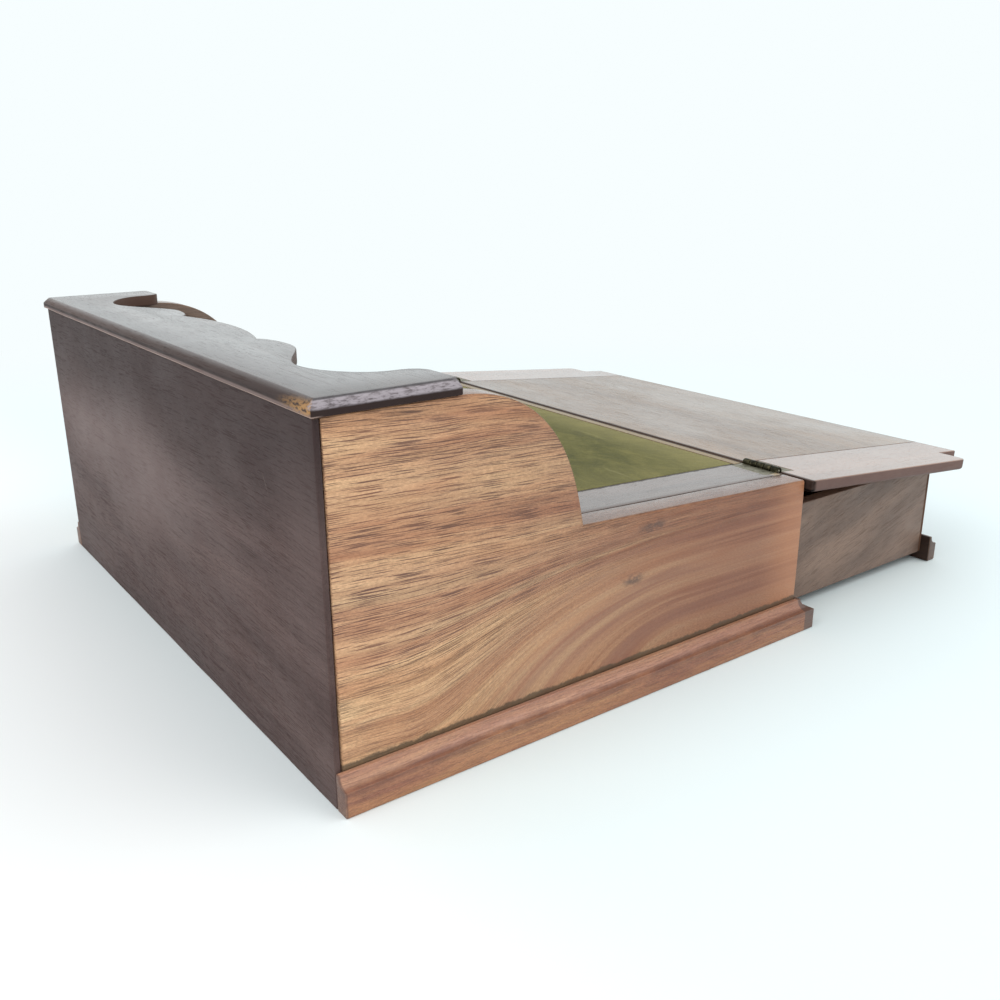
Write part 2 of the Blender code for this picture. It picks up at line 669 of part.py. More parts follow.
def cleat_outline():
    """Right cleat seen from above: hinge edge, outer edge, rounded ear, notch and tongue."""
    joint = CLEAT_JOINT + GAP / 2
    corner = (LID_HALF - LID_EAR_ROUND, -EAR_LENGTH + LID_EAR_ROUND)
    outline = [(joint, -LID_HINGE_MARGIN), (joint, -LID_LENGTH), (TONGUE_HALF, -LID_LENGTH)]
    outline += [(TONGUE_HALF, -EAR_LENGTH)]
    outline += arc(corner, LID_EAR_ROUND, 270, 360, ROUND_SEGMENTS)
    outline += [(LID_HALF, -LID_HINGE_MARGIN)]
    return outline


def lid_cleats(lid):
    joint = CLEAT_JOINT + GAP / 2
    for name, side in SIDES:
        outline = cleat_outline() if side > 0 else flip_outline(cleat_outline())
        middle = Matrix.Translation((0.0, 0.0, -AXIS_RISE - LID_THICKNESS / 2))
        piece = plate(name + "_lid_cleat", outline, LID_THICKNESS, middle, lid)

        def outer_face_edge(a, b):
            low = max(a.z, b.z) < 0
            return low and max(abs(a.x), abs(b.x)) > joint + MERGE

        round_edges(piece, outer_face_edge, LID_EDGE_ROUND, ROUND_SEGMENTS)
        hinge_seat(piece, name + "_cleat", side * HINGE_CENTRE, 0.0, -LEAF_WIDTH, -AXIS_RISE, lid)
        screw_holes(piece, name + "_cleat_screw_holes", -SCREW_LINE, -AXIS_RISE, lid)
        finish(piece, CLEAT_WALNUT)


def drawer_boards(drawer):
    """Front lapped over the sides, with the bottom held in grooves and passing under the back."""
    inside = DRAWER_INSIDE - GAP
    half = [(0.0, 0.0), (DRAWER_HALF, 0.0), (DRAWER_HALF, DRAWER_LIP), (inside, DRAWER_LIP),
            (inside, DRAWER_FRONT_THICKNESS)]
    outline = half + [(-x, y) for x, y in reversed(half[1:])]
    middle = Matrix.Translation((0.0, 0.0, DRAWER_HEIGHT / 2))
    front = plate("drawer_front", outline, DRAWER_HEIGHT, middle, drawer)
    groove_front = DRAWER_FRONT_THICKNESS - DRAWER_GROOVE_DEPTH
    groove_half = DRAWER_INSIDE + DRAWER_GROOVE_DEPTH
    cut_block(front, "front_groove", (-HALF_WIDTH, groove_front, DRAWER_GROOVE_RISE),
              (HALF_WIDTH, DRAWER_FRONT_THICKNESS + DRAWER_GROOVE_DEPTH, GROOVE_TOP), drawer)
    knob_holes(front, drawer)
    finish(front, WALNUT)
    for name, side in SIDES:
        near = min(side * DRAWER_INSIDE, side * DRAWER_HALF)
        far = max(side * DRAWER_INSIDE, side * DRAWER_HALF)
        piece = block(f"drawer_{name}_side", (near, DRAWER_LIP + GAP, 0.0),
                      (far, DRAWER_LENGTH, DRAWER_HEIGHT), drawer)
        groove = sorted((side * groove_half, side * (DRAWER_INSIDE - DRAWER_GROOVE_DEPTH)))
        cut_block(piece, name + "_side_groove", (groove[0], -DRAWER_LENGTH, DRAWER_GROOVE_RISE),
                  (groove[1], 2 * DRAWER_LENGTH, GROOVE_TOP), drawer)
        finish(piece, DRAWER_WALNUT)
    rear = block("drawer_back", (-inside, DRAWER_LENGTH - DRAWER_SIDE_THICKNESS, GROOVE_TOP),
                 (inside, DRAWER_LENGTH, DRAWER_HEIGHT), drawer)
    finish(rear, DRAWER_WALNUT)
    low = DRAWER_GROOVE_RISE + GAP
    reach = groove_half - GAP
    bottom = block("drawer_bottom", (-reach, groove_front + GAP, low),
                   (reach, DRAWER_LENGTH, low + DRAWER_BOTTOM_THICKNESS), drawer)
    finish(bottom, INNER_WALNUT, 0.6)


def knob_holes(front, drawer):
    for name, side in SIDES:
        depth = DRAWER_FRONT_THICKNESS * 3
        mesh = rod_mesh(name + "_knob_hole", KNOB_TENON_RADIUS + GAP, depth, KNOB_SIDES)
        spot = Matrix.Translation((side * KNOB_SPACING / 2, 0.0, KNOB_RISE))
        place = spot @ Matrix.Rotation(math.pi / 2, 4, "Z")
        boolean(front, add_piece(name + "_knob_hole", mesh, drawer, place, CUTTERS), "DIFFERENCE")


def knobs(drawer):
    """Turned knobs: a mushroom head on a waisted stem, with a tenon through the drawer front."""
    crown = KNOB_LENGTH - KNOB_RADIUS * 0.6
    dome = arc((0.0, crown), 1.0, 90, 0, 6)
    profile = [(KNOB_RADIUS * x, crown + (z - crown) * KNOB_RADIUS * 0.6) for x, z in dome]
    profile += [(KNOB_RADIUS * 0.9, crown - KNOB_RADIUS * 0.2), (KNOB_STEM_RADIUS, crown - KNOB_RADIUS * 0.5)]
    profile += [(KNOB_STEM_RADIUS, KNOB_RADIUS * 0.2), (KNOB_STEM_RADIUS + KNOB_RADIUS * 0.2, GAP)]
    profile += [(KNOB_TENON_RADIUS, GAP), (KNOB_TENON_RADIUS, GAP - DRAWER_FRONT_THICKNESS)]
    profile += [(0.0, GAP - DRAWER_FRONT_THICKNESS)]
    for name, side in SIDES:
        place = Matrix.Translation((side * KNOB_SPACING / 2, 0.0, KNOB_RISE)) @ LENGTHWISE
        piece = add_piece(name + "_knob", turned_mesh(name + "_knob", profile, KNOB_SIDES), drawer, place)
        finish(piece, DARK_WALNUT, 0.3)


def drawer_moulding(drawer):
    """The base moulding's middle length rides on the drawer front and stops against the sides when shut."""
    drop = Matrix.Translation((0.0, 0.0, -DRAWER_FLOOR))
    length = 2 * (RETURN_INNER - 2 * GAP)
    outline = flip_outline(moulding_profile(FLOOR_CLEARANCE))
    finish(plate("drawer_base_moulding", outline, length, drop @ ACROSS, drawer), MOULDING_WALNUT)


def build():
    slope_matrix = Matrix.Translation((0.0, FRONT, FRONT_HEIGHT)) @ Matrix.Rotation(SLOPE, 4, "X")
    slope = new_frame("writing_slope", slope_matrix)
    lid = new_frame("lid_hinge_axis", lid_frame(slope_matrix))
    drawer = new_frame("drawer_slide", Matrix.Translation((0.0, FRONT - DRAWER_REACH, DRAWER_FLOOR)))
    side_panels()
    back_panel()
    crest_board()
    bottom_board()
    front_rail()
    ledgers()
    shelf()
    dividers()
    base_mouldings()
    writing_panel(slope)
    baize(slope)
    lid_board(lid)
    lid_cleats(lid)
    hinges(slope, lid)
    drawer_boards(drawer)
    knobs(drawer)
    drawer_moulding(drawer)


clear_scene()
DESK = new_collection("lap_desk")
CUTTERS = new_collection("lap_desk_cutters")
build()
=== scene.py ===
"""Looks of the walnut lap desk: worn boards, mouldings, baize, hinges and their finishes.

Metres, +Z up. The writer sits on the -Y side, and the tall compartment stands at +Y.
Every piece but four boards that hardly show is a numpy surface in the place of the CAD node that it stands for.
"""
import math

import bmesh
import bpy
import numpy as np
from mathutils import Matrix, Vector


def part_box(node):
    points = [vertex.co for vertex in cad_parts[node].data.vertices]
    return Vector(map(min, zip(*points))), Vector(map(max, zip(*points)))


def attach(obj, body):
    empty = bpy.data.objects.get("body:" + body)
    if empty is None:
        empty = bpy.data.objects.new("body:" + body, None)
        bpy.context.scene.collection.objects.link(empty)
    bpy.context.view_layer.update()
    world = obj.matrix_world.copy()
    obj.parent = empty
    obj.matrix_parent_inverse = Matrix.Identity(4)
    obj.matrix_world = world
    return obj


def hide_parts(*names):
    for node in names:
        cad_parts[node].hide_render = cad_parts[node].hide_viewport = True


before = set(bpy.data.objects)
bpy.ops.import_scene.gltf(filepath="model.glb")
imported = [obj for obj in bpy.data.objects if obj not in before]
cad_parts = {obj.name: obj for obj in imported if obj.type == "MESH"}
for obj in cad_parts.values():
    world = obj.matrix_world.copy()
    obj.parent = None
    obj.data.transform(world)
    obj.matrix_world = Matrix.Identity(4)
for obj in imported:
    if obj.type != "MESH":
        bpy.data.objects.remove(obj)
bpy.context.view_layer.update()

TURN = 2 * math.pi
QUARTER = math.pi / 2

# Carcass
GAP = 0.0003
HALF_WIDTH = 0.170
SIDE_THICKNESS = 0.013
INNER_FACE = HALF_WIDTH - SIDE_THICKNESS
REAR = 0.1295
FRONT = -REAR
TALL_HEIGHT = 0.147
FRONT_HEIGHT = 0.0782
STEP = (0.013, 0.0856)
SHOULDER_TOP = (0.0735, TALL_HEIGHT)
SHOULDER_CROWN = 0.040
SHOULDER_FALL = 0.034
SHOULDER_LEAN = math.radians(9.6)
BACK_INNER = REAR - 0.008
BACK_LIP = 0.0025
DIVIDER_TOP = REAR - 0.034
SLOPE = math.atan2(STEP[1] - FRONT_HEIGHT, STEP[0] - FRONT)

# Crest board: places along its front edge are measured in from the end, depths from the rear face
CREST_END = HALF_WIDTH + 0.002
CREST_REAR = REAR + 0.0015
CREST_THICKNESS = 0.006
CREST_CHAMFER = 0.003
HORN = (0.0205, 0.0575)
FLANK = (0.029, 0.046)
BAY = (0.059, 0.023)
LOBE = (0.105, 0.0415)
CUSP = (0.127, 0.036)
CREST_MIDDLE = 0.0433

# Base moulding
MOULDING_HEIGHT = 0.0154
MOULDING_OUT = 0.0072
MOULDING_SHOULDER = 0.0106
MOULDING_TOP = 0.0022
RETURN_INNER = INNER_FACE + 0.0053

# Writing panel, baize and lid
PANEL_THICKNESS = 0.007
PANEL_RUN = 0.1608
BAIZE_HALF = 0.130
BAIZE_FRONT = 0.007
BAIZE_REAR = PANEL_RUN - 0.006
BAIZE_TOP = -0.0001
BAIZE_THICKNESS = 0.0008
LID_THICKNESS = 0.0062
LID_LENGTH = 0.160
LID_HALF = HALF_WIDTH + 0.003
CLEAT_JOINT = LID_HALF - 0.0425
TONGUE_HALF = INNER_FACE - 0.0008
EAR_LENGTH = 0.142691
EAR_ROUND = 0.004
LID_ROUND = 0.002
LID_HINGE_EDGE = -0.0008
LID_RIM = np.array([0.0, 0.0001, 0.0003, 0.0006, 0.001, 0.0014, 0.002])
AXIS_FORWARD = 0.0008
AXIS_RISE = 0.0003

# Hinges
HINGE_LENGTH = 0.022
HINGE_CENTRE = 0.1425
LEAF_WIDTH = 0.011
LEAF_THICKNESS = 0.0009
LEAF_DROP = 0.0001
BARREL_RADIUS = 0.0021
PIN_RADIUS = 0.0009
KNUCKLES = 5
KNUCKLE_LENGTH = (HINGE_LENGTH - (KNUCKLES - 1) * GAP) / KNUCKLES
SCREW_SPACING = 0.012
SCREW_LINE = 0.0068
SCREW_RADIUS = 0.0017
SCREW_TURNS = (0.4, 1.3, 2.2, 0.9, 2.8, 0.2, 1.8, 1.1)
SEAT = (HINGE_CENTRE - HINGE_LENGTH / 2 - GAP, HINGE_CENTRE + HINGE_LENGTH / 2 + GAP)

# Drawer
DRAWER_REACH = 0.1358
DRAWER_FLOOR = 0.0053
DRAWER_HEIGHT = 0.0537
DRAWER_LENGTH = 0.240
DRAWER_HALF = INNER_FACE - 0.0006
DRAWER_INSIDE = DRAWER_HALF - 0.007
DRAWER_FRONT = 0.009
DRAWER_LIP = 0.0018
GROOVE = (0.0025, 0.005, 0.0086)
KNOB_PLACE = (0.085, 0.031)

# Roundings; the sides' corners are the front foot, rear foot, rear top and front top
SIDE_CORNERS = (0.0008, 0.0003, 0.0003, 0.0014)
SIDE_ARRIS = 0.0008
BACK_CORNER = 0.0007
BACK_ARRIS = 0.0006
CREST_CORNER = 0.0008
CREST_ARRIS = 0.0007
CREST_BAND = 0.0009
BOARD_ARRIS = 0.0005
DIVIDER_ARRIS = 0.0009
MOULDING_CORNERS = (0.0008, 0.0003, 0.0003)
MITRE_ARRIS = 0.00005
PANEL_EASE = (0.0, 0.0002, 0.0006)
BAIZE_EASE = 0.0004
LEAF_CORNER = 0.0001
LEAF_ARRIS = 0.00012
DRAWER_CORNER = 0.0006
DRAWER_ARRIS = 0.0007
DRAWER_END_ARRIS = 0.0004

# Meshes: merging distance, angle of a sharp edge, spacing of outline points, lean of a recess's steep walls
MERGE = 0.000001
SHARP = math.radians(38.0)
SPACING = 0.004
FINE_SPACING = 0.002
ARC_STEPS = 4
WALL = 0.00008
DIGITS = 7

# Frames that the boards are drawn in
ACROSS = Matrix(((0, 0, 1, 0), (1, 0, 0, 0), (0, 1, 0, 0), (0, 0, 0, 1)))
FORWARD = Matrix.Rotation(QUARTER, 4, "X")
SLOPE_FRAME = Matrix.Translation((0.0, FRONT, FRONT_HEIGHT)) @ Matrix.Rotation(SLOPE, 4, "X")
DRAWER_FRAME = Matrix.Translation((0.0, FRONT - DRAWER_REACH, DRAWER_FLOOR))
SIDES = (("left", -1), ("right", 1))

# Room, and the camera as fitted to the photograph
ROOM_WHITE = (0.93, 0.99, 1.0, 1.0)
ROOM_LIGHT = (0.95, 0.98, 1.0, 1.0)
ROOM_STRENGTH = 0.92
PAPER_DARK = (0.81, 0.91, 0.92, 1.0)
PAPER_LIGHT = (0.84, 0.93, 0.94, 1.0)
PAPER_BEHIND = (0.93, 0.94, 0.93, 1.0)
CAMERA_ANGLES = (53.647, 18.261, -0.264)
CAMERA_PLACE = (-0.457305, 0.266529, 0.22246)
CAMERA_SENSOR = 36.0
CAMERA_LENS = 36.093


def lid_frame():
    """On the hinge axis, tipped until the lid's outer face lies on the top of the drawer front."""
    axis = SLOPE_FRAME @ Vector((0.0, -AXIS_FORWARD, AXIS_RISE))
    run = axis.y - (FRONT - DRAWER_REACH)
    fall = axis.z - DRAWER_FLOOR - DRAWER_HEIGHT - GAP
    droop = math.atan2(fall, run) - math.asin((AXIS_RISE + LID_THICKNESS) / math.hypot(fall, run))
    return Matrix.Translation(axis) @ Matrix.Rotation(droop, 4, "X")


LID_FRAME = lid_frame()

# The two leaves of a hinge: name, first knuckle, way that it runs, axis line, height of the face, frame and body
LEAVES = (("box", 0, 1, -AXIS_FORWARD, 0.0, SLOPE_FRAME, "carcass"),
          ("lid", 1, -1, 0.0, -AXIS_RISE, LID_FRAME, "lid"))


def at(x=0.0, y=0.0, z=0.0):
    """A plain move to a place."""
    return Matrix.Translation((x, y, z))


# ---------------------------------------------------------------- surfaces

def bezier(start, lead, arrive, end, steps):
    """Cubic curve (1-t)^3 A + 3t(1-t)^2 B + 3t^2(1-t) C + t^3 D, without its first point."""
    t = np.linspace(0.0, 1.0, steps + 1)[1:, None]
    a, b, c, d = (np.array(point, float) for point in (start, lead, arrive, end))
    return (1 - t) ** 3 * a + 3 * t * (1 - t) ** 2 * b + 3 * t ** 2 * (1 - t) * c + t ** 3 * d


def anticlockwise(outline):
    """The outline in the order that has its inside on the left."""
    outline = np.asarray(outline, float)
    x, y = outline.T
    area = np.sum(x * np.roll(y, -1) - np.roll(x, -1) * y)
    return outline[::1 if area > 0 else -1]


def mirrored(half):
    """Outline of a board that is the same on both sides of x = 0, from its right half."""
    return anticlockwise(half + [(-x, y) for x, y in reversed(half[1:])])


def inward(outline):
    """Mitre vector at each point: the sum of the two edge normals over one plus their product."""
    step = np.roll(outline, -1, axis=0) - outline
    normal = np.stack([-step[:, 1], step[:, 0]], 1) / np.linalg.norm(step, axis=1, keepdims=True)
    last = np.roll(normal, 1, axis=0)
    return (normal + last) / (1.0 + np.sum(normal * last, axis=1, keepdims=True))


def soft_corners(outline, radius, spacing=SPACING):
    """Outline with each corner turned into an arc, and how each of its points moves when it is set in.

    An arc runs about the point that lies its radius in from both edges, from one edge's normal to the
    next's; a corner of no radius stays one point. Long edges get points no further apart than the spacing.
    Returns the points, their inward normals, the inset at which an arc has closed on its middle, and the
    corner's mitre, along which it goes on from there.
    """
    corner = np.asarray(outline, float)
    reach = np.broadcast_to(np.asarray(radius, float), len(corner))[:, None]
    mitre = inward(corner)
    step = np.roll(corner, -1, axis=0) - corner
    after = np.arctan2(-step[:, 0], step[:, 1])[:, None]
    before = np.roll(after, 1)
    swing = (after - before + math.pi) % TURN - math.pi
    way = np.sign(swing)
    angle = before + np.linspace(0.0, 1.0, ARC_STEPS + 1) * swing
    spoke = np.stack([np.cos(angle), np.sin(angle)], -1) * way[..., None]
    rounded = reach > 0
    hub = (corner + mitre * reach * way)[:, None]
    points = np.where(rounded[..., None], hub + spoke * reach[:, None], corner[:, None])
    normal = np.where(rounded[..., None], -spoke * way[..., None], mitre[:, None])
    closes = np.broadcast_to(np.where((swing > 0) & rounded, reach, np.inf), angle.shape)
    keep = rounded | (np.arange(ARC_STEPS + 1) == 0)
    onward = np.broadcast_to(mitre[:, None], points.shape)[keep]
    points, normal, closes = points[keep], normal[keep], closes[keep]
    step = np.roll(points, -1, axis=0) - points
    length = np.linalg.norm(step, axis=1, keepdims=True)
    parts = np.maximum(1, np.ceil(length[:, 0] / spacing)).astype(int)
    which = np.repeat(np.arange(len(points)), parts)
    share = ((np.arange(len(which)) - np.repeat(np.cumsum(parts) - parts, parts)) / parts[which])[:, None]
    edge_normal = np.stack([-step[:, 1], step[:, 0]], 1) / length
    inside = share > 0
    return (points[which] + share * step[which], np.where(inside, edge_normal[which], normal[which]),
            np.where(inside[:, 0], np.inf, closes[which]), onward[which])


def round_arris(radius, rings=5):
    """Quarter circle from the edge to the face: distances in and down for each ring."""
    turn = np.linspace(0.0, QUARTER, rings)[:, None]
    reach = np.atleast_1d(radius)[None, :]
    return reach * (1 - np.cos(turn)), reach * (1 - np.sin(turn))


def worn_arris(outline, radius, seed, share=0.25, most=2.0):
    """A round arris whose radius wavers along the outline, but not at its corners.

    The waver is a sum of ten sines of 2 to 18 whole waves with chance phases, the same at every run.
    """
    chance = np.random.default_rng(seed)
    turns = chance.integers(2, 19, 10)
    phases = chance.uniform(0.0, TURN, 10)
    t = np.linspace(0.0, TURN, len(outline[0]), endpoint=False)[:, None]
    waver = np.isinf(outline[2]) * np.sin(t * turns + phases).sum(1) / 3.0
    return round_arris(radius * (1 + share * np.clip(waver, -1.5, most)))


def cut_arris(size):
    """Flat chamfer with its two edges eased: distances in and down for each ring."""
    inset = size * np.array([0.0, 0.05, 0.5, 0.95, 1.12])[:, None]
    return inset, inset[::-1]


def slab(outline, thickness, low, top=None, wear=(1.0, 1.0)):
    """An outline carried round the section of a board's edge, with a face at each end of it.

    u runs along the outline, and v over the section: round the lower arris, up the edge and round the
    upper arris, which is like the lower one if none is given. A point is the outline's point moved in by
    the section's inset, along its normal until an arc has closed and then along the corner's mitre, at the
    section's height. Returns points, quads, faces, and the wear along the arrises with the share of the edge.
    """
    points, normal, closes, onward = outline
    count = len(points)
    low_in, low_up = (np.broadcast_to(part, (len(part), count)) for part in low)
    top_in, top_down = (np.broadcast_to(part, (len(part), count)) for part in top or low)
    inset = np.concatenate([low_in[::-1], top_in])
    height = np.concatenate([low_up[::-1], thickness - top_down])
    first = np.minimum(inset, closes)[..., None]
    flat = points + normal * first + onward * (inset[..., None] - first)
    solid = np.concatenate([flat, height[..., None]], 2).reshape(-1, 3)
    index = np.arange(inset.size).reshape(inset.shape)
    around = np.roll(index, -1, axis=1)
    quads = np.stack([index[:-1], around[:-1], around[1:], index[1:]], -1).reshape(-1, 4)
    worn = np.concatenate([np.sin(np.linspace(0.0, math.pi, len(part)))[:, None] * np.broadcast_to(share, count)
                           for part, share in ((low_in, wear[0]), (top_in, wear[1]))])
    rim = np.concatenate([np.linspace(0.0, 1.0, len(low_in)), np.linspace(1.0, 0.0, len(top_in))])
    return solid, quads, [index[0][::-1], index[-1]], np.stack([worn.ravel(), np.repeat(rim, count)])


def relief(xs, ys, top, low, keep=None, warp=None):
    """A board whose two faces are heights over a grid of lines, closed by a wall round the cells kept.

    u and v are the grid's own lines; top and low give the heights, and warp moves the lines sideways.
    """
    x, y = np.meshgrid(xs, ys, indexing="ij")
    count = x.size
    index = np.arange(count).reshape(x.shape)
    cells = np.stack([index[:-1, :-1], index[1:, :-1], index[1:, 1:], index[:-1, 1:]], -1)
    cells = cells.reshape(-1, 4) if keep is None else cells[keep]
    start = cells.reshape(-1)
    end = np.roll(cells, -1, axis=1).reshape(-1)
    open_edge = ~np.isin(start * count + end, end * count + start)
    start, end = start[open_edge], end[open_edge]
    border = np.stack([end, start, start + count, end + count], 1)
    quads = np.concatenate([cells, cells[:, ::-1] + count, border])
    heights = np.stack([top(x, y), low(x, y)])
    if warp:
        x, y = warp(x, y)
    points = np.stack([np.stack([x, x]), np.stack([y, y]), heights], -1).reshape(-1, 3)
    rim = np.zeros(2 * count)
    rim[np.concatenate([start, start + count])] = 1.0
    used, quads = np.unique(quads, return_inverse=True)
    return points[used], quads.reshape(-1, 4), [], np.stack([rim[used], rim[used]])


def turned(profile, sides, closed=False):
    """A profile of radius and height carried round an axis: x = r cos a, y = r sin a, z = h.

    A closed profile makes a tube. An open one starts and ends on the axis, where its rings close on one point.
    """
    radius, height = np.asarray(profile, float).T
    angle = np.linspace(0.0, TURN, sides, endpoint=False)
    rings = slice(None) if closed else slice(1, -1)
    r, h = radius[rings, None], height[rings, None]
    points = np.stack([r * np.cos(angle), r * np.sin(angle), np.repeat(h, sides, 1)], -1).reshape(-1, 3)
    index = np.arange(len(points)).reshape(-1, sides)
    around = np.roll(index, -1, axis=1)
    quads = np.stack([index, around, np.roll(around, -1, axis=0), np.roll(index, -1, axis=0)], -1)
    fans = []
    if not closed:
        quads = quads[:-1]
        fans = [*np.stack([around[0], index[0], np.full(sides, len(points))], -1),
                *np.stack([index[-1], around[-1], np.full(sides, len(points) + 1)], -1)]
        points = np.concatenate([points, [[0.0, 0.0, height[0]], [0.0, 0.0, height[-1]]]])
    return points, quads.reshape(-1, 4), fans, np.zeros((2, len(points)))


def moved(shell, place):
    """The same surface in another place."""
    matrix = np.array(place)
    return (shell[0] @ matrix[:3, :3].T + matrix[:3, 3],) + tuple(shell[1:])


def joined(shells):
    """Several closed surfaces as the one mesh of a piece."""
    starts = np.cumsum([0] + [len(shell[0]) for shell in shells])
    points = np.concatenate([shell[0] for shell in shells])
    quads = np.concatenate([shell[1] + start for shell, start in zip(shells, starts)])
    faces = [face + start for shell, start in zip(shells, starts) for face in shell[2]]
    return points, quads, faces, np.concatenate([shell[3] for shell in shells], axis=1)


def piece(name, shell, place, finish, body, node):
    """Puts a surface into the scene, on its body and in the place of its CAD node."""
    points, quads, faces, worn = moved(shell, place)
    mesh = bpy.data.meshes.new(name)
    mesh.from_pydata(points.tolist(), [], quads.tolist() + [face.tolist() for face in faces])
    for label, values in zip(("edge", "rim"), worn):
        attribute = mesh.attributes.new(label, "FLOAT", "POINT")
        attribute.data.foreach_set("value", values.astype(np.float32))
    mesh.polygons.foreach_set("use_smooth", np.repeat([True, False], [len(quads), len(faces)]))
    sheet = bmesh.new()
    sheet.from_mesh(mesh)
    bmesh.ops.remove_doubles(sheet, verts=sheet.verts, dist=MERGE)
    sheet.to_mesh(mesh)
    sheet.free()
    mesh.set_sharp_from_angle(angle=SHARP)
    mesh.materials.append(finish)
    made = bpy.data.objects.new(name, mesh)
    bpy.context.scene.collection.objects.link(made)
    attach(made, body)
    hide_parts(node)
    return made


# ---------------------------------------------------------------- finishes

def tone(red, green, blue):
    """A colour as a paint card gives it, 0 to 255, made linear."""
    share = np.array([red, green, blue]) / 255.0
    linear = np.where(share <= 0.04045, share / 12.92, ((share + 0.055) / 1.055) ** 2.4)
    return (*linear.tolist(), 1.0)


class Nodes:
    """A node tree put together step by step; each method adds a node and gives back its output."""

    def __init__(self, tree):
        self.tree = tree

    def feed(self, socket, value):
        if isinstance(value, bpy.types.NodeSocket):
            self.tree.links.new(value, socket)
        else:
            socket.default_value = value

    def node(self, kind, inputs, output=0, **settings):
        made = self.tree.nodes.new("ShaderNode" + kind)
        for key, value in settings.items():
            setattr(made, key, value)
        for key, value in inputs.items():
            self.feed(made.inputs[key], value)
        return made.outputs[output]

    def math(self, operation, first, second=0.0, third=0.0):
        return self.node("Math", {0: first, 1: second, 2: third}, operation=operation)

    def seen(self):
        """1 for what the eye meets, straight on, mirrored or through glass; 0 for light that falls on things."""
        rays = self.node("LightPath", {}).node.outputs
        share = self.math("MAXIMUM", rays["Is Camera Ray"], rays["Is Glossy Ray"])
        return self.math("MAXIMUM", share, rays["Is Transmission Ray"])

    def shade(self, output, share, under, over):
        """Ends the tree with a share of one shader over another."""
        blend = self.node("MixShader", {0: share, 1: under, 2: over})
        self.feed(self.tree.nodes[output].inputs["Surface"], blend)


